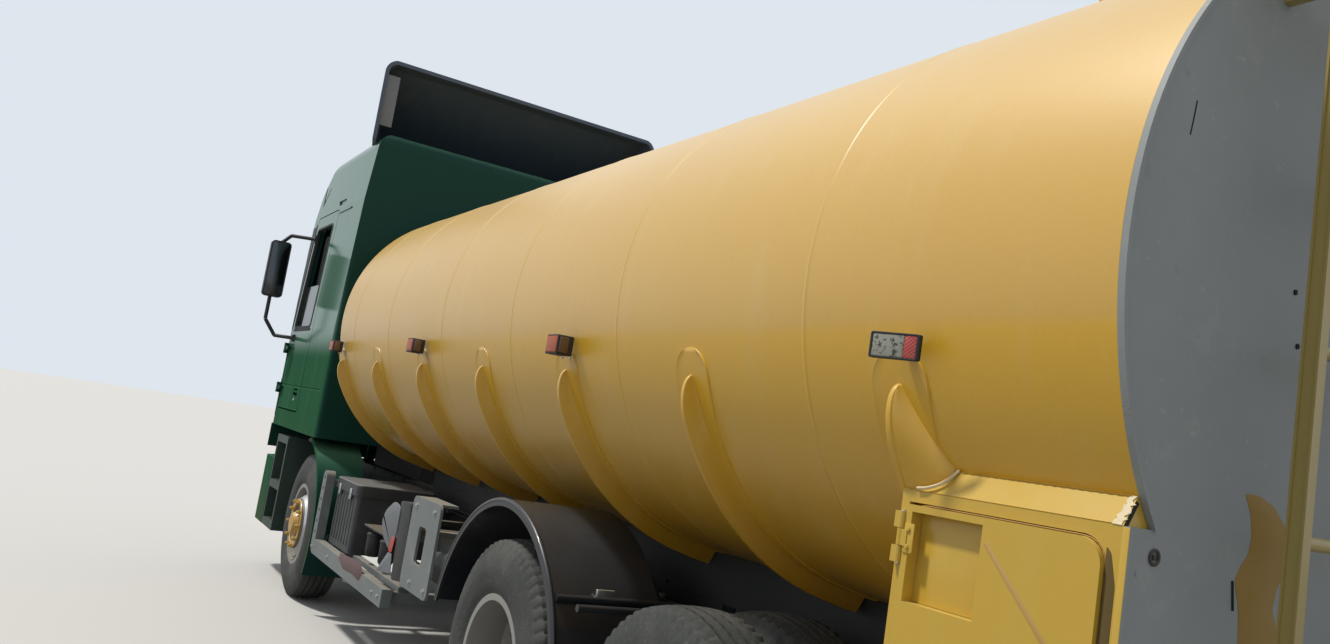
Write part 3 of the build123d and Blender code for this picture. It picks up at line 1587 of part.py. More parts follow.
def handle_grip_bar():
    """The pull bar across the middle of the handle's recess."""
    x0 = x_cab_rear + door_rear_offset + handle_setback
    z = cab_floor + handle_rise + handle_grip / 2
    return box(x0 - 1, x0 + handle_length + 1, cab_half_width - handle_grip, cab_half_width - 1,
               z - handle_grip / 2, z + handle_grip / 2)


def door_glass(lowered):
    """The door's pane; wound down, only what still stands above the door's waist."""
    prism = door_prism(door_window_points(seat_gap), door_window_corner)
    pane = cab_skin(prism, glass_depth, glass_depth + glass_thickness)
    top = door_window_top - lowered
    reach = cab_half_width + 100
    return pane - box(x_cab_rear, x_cab_front, 0, reach, top, door_window_top + 50)


def windscreen():
    return cab_skin(windscreen_prism(seat_gap), glass_depth, glass_depth + glass_thickness)


def grille():
    """A slatted panel low on the cab's front."""
    x0 = x_cab_front + seat_gap
    x1 = x0 + grille_depth
    half = cab_half_width - grille_inset
    low = cab_floor + grille_rise
    high = low + grille_height
    rim = grille_frame
    frame = box(x0, x1, -half, half, low, high)
    frame = frame - box(x0 - 1, x1 + 1, rim - half, half - rim, low + rim, high - rim)
    slats = []
    pitch = (grille_height - 2 * rim) / grille_slats
    thick = grille_slat_height / 2
    for i in range(grille_slats):
        z = low + rim + (i + 0.5) * pitch
        outline = [(x0, z - thick), (x1 - 12, z - thick), (x1 - 4, z + thick), (x0, z + thick)]
        slats.append(side_plate(outline, rim - half - 5, half - rim + 5))
    return fuse([frame] + slats)


def deflector_form(inset, extra):
    """The deflector's wedge shape, shrunk by an inset and drawn out below and behind."""
    x0 = x_cab_rear + deflector_setback - extra
    x1 = x_cab_rear + deflector_setback + deflector_length
    low = cab_roof - 60 - extra
    top = cab_roof + deflector_height
    side = side_face([(x0, low), (x1, low), (x1, cab_roof + deflector_lip), (x1 - deflector_slope, top),
                      (x0, top)])
    side = fillet(side.vertices().sort_by(Axis.Z)[-2:].sort_by(Axis.X)[-1:], deflector_nose)
    half = cab_half_width - deflector_inset
    crown = top + cab_crease
    corners = [(0, -half, low), (0, half, low), (0, half, crown), (0, -half, crown)]
    front = make_face(Polyline(corners, close=True))
    front = fillet(front.vertices().sort_by(Axis.Z)[-2:], deflector_corner)
    if inset:
        side = offset(side, amount=-inset, kind=Kind.INTERSECTION)
        front = offset(front, amount=-inset, kind=Kind.INTERSECTION)
    solid = extrude(side, amount=2 * half, dir=(0, 1, 0), both=True)
    return solid & extrude(front, amount=overall_length, dir=(1, 0, 0), both=True)


def roof_deflector():
    """The hollow air deflector on the roof, open at its back and underneath."""
    skin = deflector_form(0, 0) - deflector_form(deflector_wall, 200) - cab_body(-seat_gap)
    return max(skin.solids(), key=lambda solid: solid.volume)


def cab_side_at(z):
    """How far out the cab's side stands at a height."""
    lean = side_lean * min(1, max(0, z - cab_belt) / (header_height - cab_belt))
    return cab_half_width - lean - roof_lean * max(0, z - header_height) / (cab_roof - header_height)


def mirror_head():
    """A mirror housing on a bent tube from the door's top to its waist."""
    hx, hy = door_hinge()
    x = hx - 20
    x_foot = x - mirror_foot_setback
    y_far = cab_half_width + mirror_reach
    head = box(x - mirror_depth / 2, x + mirror_depth / 2, y_far - mirror_width / 2,
               y_far + mirror_width / 2, mirror_middle - mirror_height / 2,
               mirror_middle + mirror_height / 2)
    head = fillet(head.edges().filter_by(Axis.X), mirror_corner)
    top = mirror_middle + mirror_height / 2 + mirror_arm_rise
    low = mirror_middle - mirror_height / 2 - mirror_arm_drop
    points = [(x_foot, cab_side_at(top) + seat_gap, top), (x, y_far - 70, top),
              (x, y_far + 10, top - 90), (x, y_far + 10, low + 130), (x, y_far - 90, low),
              (x_foot, cab_half_width + seat_gap, low)]
    arm = fuse([rod(start, end, mirror_arm_radius) for start, end in zip(points, points[1:])])
    feet = [box(x_foot - 30, x_foot + 30, cab_side_at(z) + seat_gap, cab_side_at(z) + 12, z - 30, z + 30)
            for z in (top + 2, low)]
    solid = head + arm + feet[0] + feet[1]
    return solid - cab_body(-seat_gap)


def seats():
    """Two seats: a cushion and a leaning back each, on a pedestal to the cab floor."""
    shapes = []
    x0 = x_cab_rear + seat_offset
    x1 = x0 + seat_cushion_depth
    floor = cab_floor + cab_wall + seat_gap
    half = seat_cushion_width / 2
    rise = floor + seat_cushion_rise
    for y in (seat_side, -seat_side):
        cushion = box(x0, x1, y - half, y + half, rise, rise + seat_cushion_height)
        cushion = fillet(cushion.edges().filter_by(Axis.Y), seat_cushion_height / 2 - 15)
        low = rise + seat_cushion_height - 50
        high = low + seat_back_height
        rear = x0 - 10
        front = rear + seat_back_depth
        back = side_plate([(rear, low), (front, low), (front - seat_back_lean, high),
                           (rear - seat_back_lean, high)], y - half + 10, y + half - 10)
        back = fillet(back.edges().filter_by(Axis.Y).sort_by(Axis.Z)[-2:], seat_back_depth / 2 - 15)
        base = box(x0 + 90, x1 - 90, y - half + 65, y + half - 65, floor, rise + 5)
        shapes.append(cushion + back + base)
    return shapes


def dashboard():
    """The board under the windscreen, with the hole that the steering column passes through."""
    x1 = x_cab_front - cab_wall - seat_gap
    x0 = x1 - dash_depth
    top = cab_belt - dash_drop
    low = tunnel_top + tunnel_wall + seat_gap
    half = cab_half_width - cab_wall - 130
    board = side_plate([(x1, low), (x1, top), (x0, top), (x0 - dash_nose, top - 2 * dash_nose), (x0, low)],
                       -half, half)
    return board - steering_column(column_radius + pin_gap)


def steering_middle():
    """The middle of the steering wheel, in front of the left seat."""
    return x_cab_front - wheel_setback, seat_side, cab_floor + cab_wall + wheel_rise


def steering_column(radius):
    x, y, z = steering_middle()
    return rod((x, y, z), (x + column_run, y, z - column_drop), radius)


def steering_wheel():
    """A wheel rim, three spokes and the column into the dashboard."""
    rim = Torus(steering_rim_radius, steering_rim_bar)
    hub = Cylinder(45, 40)
    reach = steering_rim_radius - 5
    spoke = Pos(reach / 2, 0, 0) * Box(reach, 36, 12)
    spokes = fuse([Rot(0, 0, angle) * spoke for angle in (30, 150, 270)])
    wheel = Pos(*steering_middle()) * Rot(0, -28, 0) * (rim + hub + spokes)
    return wheel + steering_column(column_radius)


def wheel_sets():
    """Each wheel's tyres and rims, named by axle and side."""
    sets = {"front": (front_tyre(), front_rim())}
    for name, x in (("middle", x_axle_2), ("rear", x_axle_3)):
        sets[name] = (twin_tyres(x), twin_rims(x))
    return sets


def mirrored(shapes):
    return [other_side(solid) for solid in solids_of(shapes)]


def main():
    os.makedirs("parts", exist_ok=True)
    save("frame_rails", frame_rails())
    save("front_bumper", front_bumper())
    save("cab_steps", cab_steps())
    save("front_fenders", front_fenders())
    save("front_axle", front_axle())
    save("rear_bogie", rear_bogie())
    save("engine_block", engine_block())
    save("fuel_tank", fuel_tank())
    save("silencer", silencer())
    save("side_carrier", side_carrier())
    save("battery_box", battery_box())
    save("air_tanks", air_tanks())
    save("tank_shell", tank_shell())
    save("tank_ribs", tank_ribs())
    save("tank_subframe", subframe())
    save("tank_coamings", [coamings(), lid_hinges()])
    save("rear_plate", rear_plate())
    save("rear_ladder", ladder())
    save("outlet_pipe", outlet_pipe())
    save("rear_bumper", rear_bumper())
    save("mudguards", mudguards())
    save("lamps", [headlamps(), tail_lamps(), marker_lamps()])
    save("cab_shell", cab_shell())
    save("windscreen", windscreen())
    save("cab_grille", grille())
    save("roof_deflector", roof_deflector())
    save("seats", seats())
    save("dashboard", dashboard())
    save("steering_wheel", steering_wheel())
    sided = {"cab_door": cab_door(), "mirror": mirror_head(),
             "knuckle": knuckle(), "cabinet": cabinet(), "cabinet_door": cabinet_door()}
    for name, (tyres, rims) in wheel_sets().items():
        sided[name + "_tyres"] = tyres
        sided[name + "_rims"] = rims
    for name, shape in sided.items():
        save(name + "_left", shape)
        save(name + "_right", mirrored(shape))
    save("door_glass_left", door_glass(lowered_glass_drop))
    save("door_glass_right", mirrored(door_glass(0)))
    for name, (x, _) in zip(("lid_rear", "lid_front"), manhole_places()):
        save(name, manhole_lid(x))


main()
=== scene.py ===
import json
import math
import bmesh
import bpy
import numpy as np
from mathutils import Matrix, Vector


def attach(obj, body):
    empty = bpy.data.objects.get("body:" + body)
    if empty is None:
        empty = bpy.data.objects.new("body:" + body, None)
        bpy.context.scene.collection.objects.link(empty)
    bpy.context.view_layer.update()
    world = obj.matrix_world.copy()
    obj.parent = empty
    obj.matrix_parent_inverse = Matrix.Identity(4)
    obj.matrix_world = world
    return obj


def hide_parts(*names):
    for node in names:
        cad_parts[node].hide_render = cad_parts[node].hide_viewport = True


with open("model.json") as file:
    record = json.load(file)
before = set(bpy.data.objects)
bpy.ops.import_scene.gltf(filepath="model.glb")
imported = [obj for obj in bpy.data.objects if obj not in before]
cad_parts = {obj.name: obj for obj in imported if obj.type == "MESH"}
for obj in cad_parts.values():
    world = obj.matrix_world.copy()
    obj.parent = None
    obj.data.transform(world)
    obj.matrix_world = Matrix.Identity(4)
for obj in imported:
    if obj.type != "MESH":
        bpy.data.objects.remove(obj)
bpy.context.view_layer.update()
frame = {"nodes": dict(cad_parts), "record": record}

nodes = frame["nodes"]
slotOfNode = {row["node"]: row["material_slot"] for row in frame["record"]["subparts"]}
print("stage: frame loaded,", len(nodes), "nodes")


# Camera: where the photographer stood, in metres and degrees
view = {"place": (-5.541, 2.963, 1.572), "yaw": -29.244, "pitch": 6.512, "roll": 9.043,
        "focalPixels": 1051.383, "imageWidth": 1330, "sensor": 36.0}


def makeCamera():
    yaw, pitch, roll = (math.radians(view[k]) for k in ("yaw", "pitch", "roll"))
    ahead = Vector((math.cos(yaw) * math.cos(pitch), math.sin(yaw) * math.cos(pitch), math.sin(pitch)))
    level = ahead.cross(Vector((0, 0, 1))).normalized()
    upright = level.cross(ahead)
    right = math.cos(roll) * level + math.sin(roll) * upright
    up = math.cos(roll) * upright - math.sin(roll) * level
    data = bpy.data.cameras.new("camera")
    data.sensor_width = view["sensor"]
    data.lens = view["focalPixels"] / view["imageWidth"] * view["sensor"]
    data.clip_end = 200.0
    camera = bpy.data.objects.new("camera", data)
    turn = Matrix((right, up, -ahead)).transposed().to_4x4()
    camera.matrix_world = Matrix.Translation(view["place"]) @ turn
    bpy.context.scene.collection.objects.link(camera)
    bpy.context.scene.camera = camera


makeCamera()
print("stage: camera")


# Shaders: a socket that can be used in sums and products, and one method that adds any node
class Wire:
    def __init__(self, tree, socket=None):
        self.tree = tree
        self.socket = socket

    def add(self, kind, settings=None, inputs=None, out=0):
        node = self.tree.nodes.new(kind)
        for key, value in (settings or {}).items():
            setattr(node, key, value)
        for key, value in (inputs or {}).items():
            if isinstance(value, Wire):
                self.tree.links.new(value.socket, node.inputs[key])
            else:
                node.inputs[key].default_value = value
        return Wire(self.tree, node.outputs[out] if node.outputs else None)

    def maths(self, operation, first, second):
        return self.add("ShaderNodeMath", {"operation": operation}, {0: first, 1: second})

    def __add__(self, other):
        return self.maths("ADD", self, other)

    def __radd__(self, other):
        return self.maths("ADD", other, self)

    def __sub__(self, other):
        return self.maths("SUBTRACT", self, other)

    def __rsub__(self, other):
        return self.maths("SUBTRACT", other, self)

    def __mul__(self, other):
        return self.maths("MULTIPLY", self, other)

    def __rmul__(self, other):
        return self.maths("MULTIPLY", other, self)


def noise(at, scale, detail=3.0, rough=0.55, stretch=(1, 1, 1)):
    # fractal noise from 0 to 1, its grain drawn out along an axis by a small stretch
    drawn = at.add("ShaderNodeVectorMath", {"operation": "MULTIPLY"}, {0: at, 1: stretch})
    return at.add("ShaderNodeTexNoise", {"noise_dimensions": "3D"},
                  {"Vector": drawn, "Scale": scale, "Detail": detail, "Roughness": rough})


def fade(value, low, high):
    # 0 below low, 1 above high, smooth between; a high under low turns it round
    if high > low:
        return value.add("ShaderNodeMapRange", {"interpolation_type": "SMOOTHSTEP"},
                         {"Value": value, "From Min": low, "From Max": high})
    return 1.0 - value.add("ShaderNodeMapRange", {"interpolation_type": "SMOOTHSTEP"},
                           {"Value": value, "From Min": high, "From Max": low})


def blend(factor, first, second):
    # colours mixed by a factor; each is a colour triple or a wire
    wires = [c if isinstance(c, Wire) else (*c, 1.0) for c in (first, second)]
    return factor.add("ShaderNodeMix", {"data_type": "RGBA", "clamp_factor": True},
                      {0: factor, 6: wires[0], 7: wires[1]}, out=2)


def parts(at):
    split = at.add("ShaderNodeSeparateXYZ", None, {0: at}).socket.node
    return [Wire(at.tree, split.outputs[k]) for k in range(3)]


def sine(value):
    return value.add("ShaderNodeMath", {"operation": "SINE"}, {0: value})


def facing(at):
    # the surface's own direction, as three parts
    return parts(at.add("ShaderNodeNewGeometry", None, None, out="Normal"))


def surface(name, build, facts):
    material = bpy.data.materials.new(name)
    material.use_nodes = True
    tree = material.node_tree
    tree.nodes.clear()
    start = Wire(tree)
    at = start.add("ShaderNodeTexCoord", None, None, out="Object")
    look = build(at, facts)
    bump = look.pop("bump", None)
    if bump:
        height, strength, distance = bump
        look["Normal"] = start.add("ShaderNodeBump", None,
                                   {"Height": height, "Strength": strength, "Distance": distance})
    if not isinstance(look["Base Color"], Wire):
        look["Base Color"] = (*look["Base Color"], 1.0)
    shader = start.add("ShaderNodeBsdfPrincipled", None, look)
    start.add("ShaderNodeOutputMaterial", None, {"Surface": shader})
    return material


# Gloss paint: a base colour that drifts, bands of colour by height, dust that lies on what faces up,
# road dirt that climbs from below (on the tank also painted shade), rain streaks, chips,
# painted shade with some soot on faces that look rearwards, and the faint ripple of sprayed paint
def glossPaint(at, f):
    z = parts(at)[2]
    drift = noise(at, 0.7, 4.0)
    colour = blend(drift, f["low"], f["high"])
    # bands of colour by height; on the tank a painted reflection horizon and painted shade low down
    for tint, share, top, bottom in f.get("bands", ()):
        colour = blend(fade(z + 0.02 * noise(at, 1.3, 3.0), top, bottom) * share, colour, tint)
    streak = noise(at, 9.0, 4.0, 0.6, (1.0, 1.0, 0.12))
    colour = blend(fade(streak, 0.50, 0.78) * 0.25, colour, f["dust"])
    up = facing(at)[2]
    lying = fade(up, 0.35, 1.0) * f.get("bleach", 0.3)
    colour = blend(lying * (0.6 + 0.4 * drift), colour, f["pale"])
    # darker towards the bottom: road dirt, and on the tank painted shade as well
    lowDirtAndShade = fade(z + 0.35 * noise(at, 2.2, 5.0), f["dirtTop"], f["dirtBottom"])
    colour = blend(lowDirtAndShade * f.get("dirt", 0.5), colour, f["mud"])
    fine = noise(at, 60.0, 3.0)
    colour = blend(fine * 0.12, colour, f["mud"])
    chip = fade(noise(at, 34.0, 5.0, 0.7), 0.735, 0.76) * fade(noise(at, 2.6, 2.0), 0.52, 0.62)
    colour = blend(chip * f.get("chips", 0.5), colour, f["under"])
    rough = f["rough"] + 0.16 * drift * fine + 0.35 * lowDirtAndShade * f.get("dirt", 0.5) + 0.12 * lying
    peel = noise(at, 170.0, 2.0) * 0.25 + noise(at, 14.0, 2.0) - 0.3 * chip
    # faces that look rearwards are darkened: painted shade, with some soot
    soot = fade(facing(at)[0], -0.5, -0.9) * f.get("soot", 0.0)
    colour = blend(soot, colour, f.get("sooty", (0, 0, 0)))
    coat = f.get("coat", 0.35)
    if "dullBelow" in f:
        coat = fade(z, *f["dullBelow"]) * (1.0 - soot) * coat
    return {"Base Color": colour, "Roughness": rough, "Coat Weight": coat,
            "Specular IOR Level": f.get("shine", 0.5),
            "Coat Roughness": f.get("coatRough", 0.12), "bump": (peel, f.get("ripple", 0.10), 0.004)}


# Flat paint on frames and plates: blotches, dust, rubbed edges of rust
def flatPaint(at, f):
    drift = noise(at, 3.0, 6.0, 0.62)
    colour = blend(drift, f["low"], f["high"])
    patch = fade(noise(at, 5.5, 6.0, 0.68), 0.57, 0.70)
    colour = blend(patch * f.get("patches", 0.4), colour, f["pale"])
    rust = fade(noise(at, 11.0, 6.0, 0.72), 0.62, 0.72)
    colour = blend(rust * f.get("rust", 0.35), colour, f["under"])
    mark = fade(noise(at, 95.0, 4.0, 0.65), 0.53, 0.58)
    colour = blend(mark * f.get("marks", 0.0), colour, f["under"])
    scratch = fade(noise(at, 24.0, 2.0, 0.5, (0.15, 1.0, 1.6)), 0.70, 0.76)
    colour = blend(scratch * 0.3, colour, f["pale"])
    dust = fade(facing(at)[2], 0.2, 0.95) * f.get("dusty", 0.6) * (0.5 + drift)
    colour = blend(dust, colour, f["dust"])
    rough = f["rough"] + 0.25 * patch + 0.2 * rust - 0.1 * scratch
    grain = drift * 0.5 + noise(at, 90.0, 2.0) * 0.25 + 0.6 * rust
    return {"Base Color": colour, "Roughness": rough, "Metallic": 0.0,
            "bump": (grain, f.get("ripple", 0.25), 0.004)}


# Moulded plastic and rubber: a fine grain with dust in its hollows
def moulded(at, f):
    grain = noise(at, 240.0, 2.0)
    cloud = noise(at, 4.0, 5.0, 0.65)
    colour = blend(cloud, f["low"], f["high"])
    dust = fade(facing(at)[2], 0.1, 0.9) * f.get("dusty", 0.45) + fade(cloud, 0.45, 0.8) * f.get("film", 0.2)
    colour = blend(dust, colour, f["dust"])
    rough = f["rough"] + 0.2 * grain * cloud + 0.3 * dust
    return {"Base Color": colour, "Roughness": rough, "Coat Weight": f.get("coat", 0.0),
            "bump": (grain + cloud, f.get("ripple", 0.2), 0.0015)}


# Bare metal: drawn grain, heat tint or oil, and spots of tarnish
def bareMetal(at, f):
    drawn = noise(at, 46.0, 4.0, 0.6, f.get("grain", (0.06, 1.0, 1.0)))
    cloud = noise(at, 5.0, 5.0, 0.6)
    colour = blend(cloud, f["low"], f["high"])
    spot = fade(noise(at, 19.0, 6.0, 0.7), 0.58, 0.72) * f.get("spots", 0.5)
    colour = blend(spot, colour, f["under"])
    dust = fade(facing(at)[2], 0.1, 0.95) * f.get("dusty", 0.4)
    colour = blend(dust, colour, f["dust"])
    metal = 0.9 - 0.7 * spot - 0.6 * dust
    rough = f["rough"] + 0.18 * drawn + 0.3 * spot + 0.25 * dust
    return {"Base Color": colour, "Roughness": rough, "Metallic": metal,
            "bump": (drawn + 0.5 * cloud, 0.15, 0.0015)}


# Tyre rubber: grey with age, dusty on its shoulders and brown in its grooves
def tyreRubber(at, f):
    cloud = noise(at, 7.0, 6.0, 0.7)
    colour = blend(cloud, f["low"], f["high"])
    speck = fade(noise(at, 70.0, 4.0, 0.7), 0.5, 0.7)
    colour = blend(speck * 0.35, colour, f["dust"])
    mud = fade(noise(at, 2.4, 5.0, 0.6), 0.42, 0.7)
    colour = blend(mud * 0.45, colour, f["mud"])
    rough = 0.82 - 0.15 * cloud
    return {"Base Color": colour, "Roughness": rough, "bump": (speck + cloud, 0.35, 0.002)}


# Tinted glass with a dust film that is thicker near its edges and foot
def tintedGlass(at, f):
    film = fade(noise(at, 3.0, 5.0, 0.6), 0.4, 0.8) * 0.35 + noise(at, 40.0, 3.0) * 0.12
    colour = blend(film, f["low"], f["dust"])
    return {"Base Color": colour, "Roughness": 0.04 + 0.25 * film, "Transmission Weight": 0.0,
            "Alpha": 0.80 + 0.2 * film, "Coat Weight": 0.6, "IOR": 1.5}


# Lamp lens: coloured plastic with moulded flutes and a dusty film
def lampLens(at, f):
    x, _, z = parts(at)
    flute = sine(x * 700.0) * sine(z * 700.0)
    film = noise(at, 55.0, 4.0)
    colour = blend(film * 0.5, f["low"], f["high"])
    return {"Base Color": colour, "Roughness": 0.12 + 0.3 * film, "Coat Weight": f.get("coat", 0.7),
            "Specular IOR Level": f.get("shine", 0.5),
            "bump": (flute, 0.35, 0.002)}


# Woven cloth: two crossed waves of thread
def cloth(at, f):
    x, y, z = parts(at)
    weave = sine((x + z) * 900.0) * sine(y * 900.0) * 0.5 + 0.5
    cloud = noise(at, 6.0, 4.0)
    colour = blend(weave * 0.5 + cloud * 0.5, f["low"], f["high"])
    return {"Base Color": colour, "Roughness": 0.9, "bump": (weave, 0.5, 0.001)}


earth = (0.30, 0.235, 0.165)
sand = (0.42, 0.35, 0.26)
rustBrown = (0.16, 0.07, 0.035)
# the tank's first band is a painted reflection: deeper yellow below the horizon line seen in the gloss; the
# second is painted shade low on the side, and the dirt share and mud colour low down stand for painted shade
# too
yellowTank = {"low": (0.66, 0.385, 0.050), "high": (0.73, 0.45, 0.072), "dust": (0.72, 0.52, 0.18),
              "pale": (0.82, 0.60, 0.24), "mud": (0.26, 0.13, 0.020), "under": (0.36, 0.30, 0.24),
              "bands": (((0.74, 0.43, 0.006), 0.8, 1.965, 1.925), ((0.46, 0.23, 0.008), 0.7, 1.75, 1.15)),
              "dirtTop": 1.45, "dirtBottom": 1.05, "dirt": 0.5, "rough": 0.34, "bleach": 0.35, "coat": 1.0,
              "coatRough": 0.38}
yellowBox = {"low": (0.56, 0.36, 0.035), "high": (0.62, 0.41, 0.050), "dust": (0.64, 0.46, 0.14),
             "pale": (0.92, 0.74, 0.30), "mud": (0.34, 0.22, 0.08), "under": (0.40, 0.33, 0.25),
             "dirtTop": 1.15, "dirtBottom": 0.60, "dirt": 0.45, "rough": 0.34, "chips": 0.8}
# on the cab, faces that look rearwards are darkened: painted shade, with some soot
greenCab = {"low": (0.040, 0.150, 0.085), "high": (0.055, 0.185, 0.110), "dust": (0.13, 0.24, 0.17),
            "pale": (0.16, 0.32, 0.24), "mud": (0.10, 0.11, 0.07), "under": (0.20, 0.19, 0.17),
            "bands": (((0.022, 0.095, 0.045), 0.75, 2.10, 1.80),),
            "dirtTop": 1.55, "dirtBottom": 1.05, "dirt": 0.35, "rough": 0.26, "coat": 1.0, "shine": 0.0,
            "dullBelow": (1.80, 2.05), "soot": 0.9, "sooty": (0.012, 0.052, 0.046)}
greenLow = dict(greenCab, dirtTop=1.15, dirtBottom=0.30, dirt=0.65, rough=0.34)
charcoal = {"low": (0.050, 0.074, 0.112), "high": (0.070, 0.098, 0.145), "dust": (0.16, 0.17, 0.18),
            "pale": (0.20, 0.21, 0.22), "mud": (0.10, 0.10, 0.10), "under": (0.20, 0.19, 0.17),
            "dirtTop": 3.70, "dirtBottom": 3.45, "dirt": 0.4, "rough": 0.42, "coat": 0.1}
greyPlate = {"low": (0.225, 0.250, 0.250), "high": (0.30, 0.325, 0.325), "pale": (0.40, 0.42, 0.41),
             "under": (0.24, 0.19, 0.14), "dust": (0.36, 0.34, 0.30), "rough": 0.55, "patches": 0.35,
             "rust": 0.25}
greyCarrier = {"low": (0.14, 0.165, 0.165), "high": (0.21, 0.235, 0.235), "pale": (0.31, 0.32, 0.32),
               "under": rustBrown, "dust": sand, "rough": 0.55, "rust": 0.35, "dusty": 0.35}
darkFrame = {"low": (0.020, 0.021, 0.023), "high": (0.040, 0.040, 0.041), "pale": (0.09, 0.085, 0.075),
             "under": rustBrown, "dust": (0.20, 0.165, 0.12), "rough": 0.6, "dusty": 0.6}
blackGuard = {"low": (0.010, 0.012, 0.016), "high": (0.022, 0.026, 0.034), "dust": (0.13, 0.14, 0.15),
              "rough": 0.26, "coat": 0.4, "dusty": 0.14, "film": 0.08}
blackTrim = {"low": (0.012, 0.013, 0.014), "high": (0.030, 0.031, 0.033), "dust": (0.14, 0.13, 0.12),
             "rough": 0.45, "dusty": 0.3}
tyreFacts = {"low": (0.026, 0.030, 0.028), "high": (0.050, 0.054, 0.051), "dust": (0.12, 0.12, 0.11),
             "mud": (0.14, 0.135, 0.12)}
castFacts = {"low": (0.025, 0.024, 0.023), "high": (0.055, 0.050, 0.045), "pale": (0.10, 0.09, 0.08),
             "under": rustBrown, "dust": (0.21, 0.175, 0.13), "rough": 0.65, "dusty": 0.6, "rust": 0.5}

finishes = {
    "tank_paint": (glossPaint, yellowTank),
    "cabinet_paint": (glossPaint, yellowBox),
    "plate_paint": (flatPaint, greyPlate),
    # the ladder: a darker, browner copy of the box yellow, painted shade
    "ladder_paint": (glossPaint, dict(yellowBox, chips=1.0, low=(0.33, 0.26, 0.07), high=(0.40, 0.31, 0.09))),
    "cab_paint": (glossPaint, greenCab),
    "deflector_paint": (glossPaint, charcoal),
    "frame_paint": (flatPaint, darkFrame),
    "carrier_paint": (flatPaint, greyCarrier),
    "bumper_paint": (glossPaint, greenLow),
    "step_plastic": (moulded, dict(blackTrim, low=(0.02, 0.045, 0.035), high=(0.04, 0.07, 0.055))),
    "guard_plastic": (moulded, blackGuard),
    "black_plastic": (moulded, blackTrim),
    "axle_steel": (flatPaint, castFacts),
    "engine_iron": (flatPaint, dict(castFacts, low=(0.06, 0.06, 0.062), high=(0.10, 0.10, 0.10))),
    "tank_alloy": (bareMetal, {"low": (0.50, 0.51, 0.52), "high": (0.64, 0.65, 0.66),
                               "under": (0.30, 0.29, 0.27),
                               "dust": sand, "rough": 0.30}),
    "silencer_steel": (bareMetal, {"low": (0.20, 0.18, 0.16), "high": (0.33, 0.30, 0.27), "under": rustBrown,
                                   "dust": earth, "rough": 0.45, "spots": 0.8, "grain": (1, 1, 1)}),
    "battery_plastic": (moulded, {"low": (0.030, 0.033, 0.036), "high": (0.060, 0.064, 0.068),
                                  "dust": (0.21, 0.21, 0.20), "rough": 0.5, "dusty": 0.55}),
    "air_tank_paint": (glossPaint, dict(charcoal, low=(0.012, 0.013, 0.015), high=(0.022, 0.024, 0.028),
                                        dirtTop=0.9, dirtBottom=0.5)),
    "lamp_plastic": (lampLens, {"low": (0.55, 0.05, 0.02), "high": (0.65, 0.16, 0.08)}),
    "glass": (tintedGlass, {"low": (0.012, 0.018, 0.020), "dust": (0.22, 0.24, 0.23)}),
    "seat_fabric": (cloth, {"low": (0.03, 0.03, 0.035), "high": (0.09, 0.09, 0.10)}),
    "trim_plastic": (moulded, {"low": (0.05, 0.05, 0.052), "high": (0.075, 0.075, 0.078),
                               "dust": (0.2, 0.19, 0.17), "rough": 0.6}),
    "tyre": (tyreRubber, tyreFacts),
    "rim_paint": (flatPaint, {"low": (0.22, 0.22, 0.21), "high": (0.33, 0.33, 0.31),
                              "pale": (0.45, 0.45, 0.43),
                              "under": rustBrown, "dust": sand, "rough": 0.5, "rust": 0.5, "dusty": 0.3}),
    "pipe_steel": (bareMetal, {"low": (0.34, 0.34, 0.33), "high": (0.45, 0.45, 0.44), "under": rustBrown,
                               "dust": sand, "rough": 0.4}),
}
looks = {slot: surface(slot, build, facts) for slot, (build, facts) in finishes.items()}

# Finishes that only the fitted pieces have
looks["goldPaint"] = surface("goldPaint", glossPaint, dict(
    yellowBox, low=(0.50, 0.28, 0.05), high=(0.62, 0.38, 0.09), rough=0.28, dirtTop=0.45, dirtBottom=0.2))
looks["brightSteel"] = surface("brightSteel", bareMetal, {
    "low": (0.55, 0.56, 0.57), "high": (0.70, 0.71, 0.72), "under": (0.30, 0.26, 0.22), "dust": sand,
    "rough": 0.22, "dusty": 0.25, "spots": 0.3})
looks["redLens"] = surface("redLens", lampLens, {"low": (0.42, 0.020, 0.014), "high": (0.60, 0.14, 0.09)})
looks["amberLens"] = surface("amberLens", lampLens, {"low": (0.55, 0.24, 0.045), "high": (0.66, 0.38, 0.13)})
looks["salmonLens"] = surface("salmonLens", lampLens, {
    "low": (0.40, 0.085, 0.03), "high": (0.48, 0.15, 0.065), "coat": 0.1, "shine": 0.2})
# the red rear lens of the side lamps, darkened to brown: painted shade
looks["brownLens"] = surface("brownLens", lampLens, {"low": (0.11, 0.055, 0.022),
                                                     "high": (0.19, 0.10, 0.045)})
looks["clearLens"] = surface("clearLens", lampLens, {"low": (0.46, 0.48, 0.47), "high": (0.70, 0.71, 0.70)})
looks["seal"] = surface("seal", moulded, dict(blackTrim, rough=0.6))
looks["mirrorGlass"] = surface("mirrorGlass", bareMetal, {
    "low": (0.07, 0.08, 0.09), "high": (0.10, 0.11, 0.12), "under": (0.10, 0.10, 0.10),
                                                          "dust": (0.12, 0.12, 0.12),
    "rough": 0.05, "spots": 0.1, "dusty": 0.1})
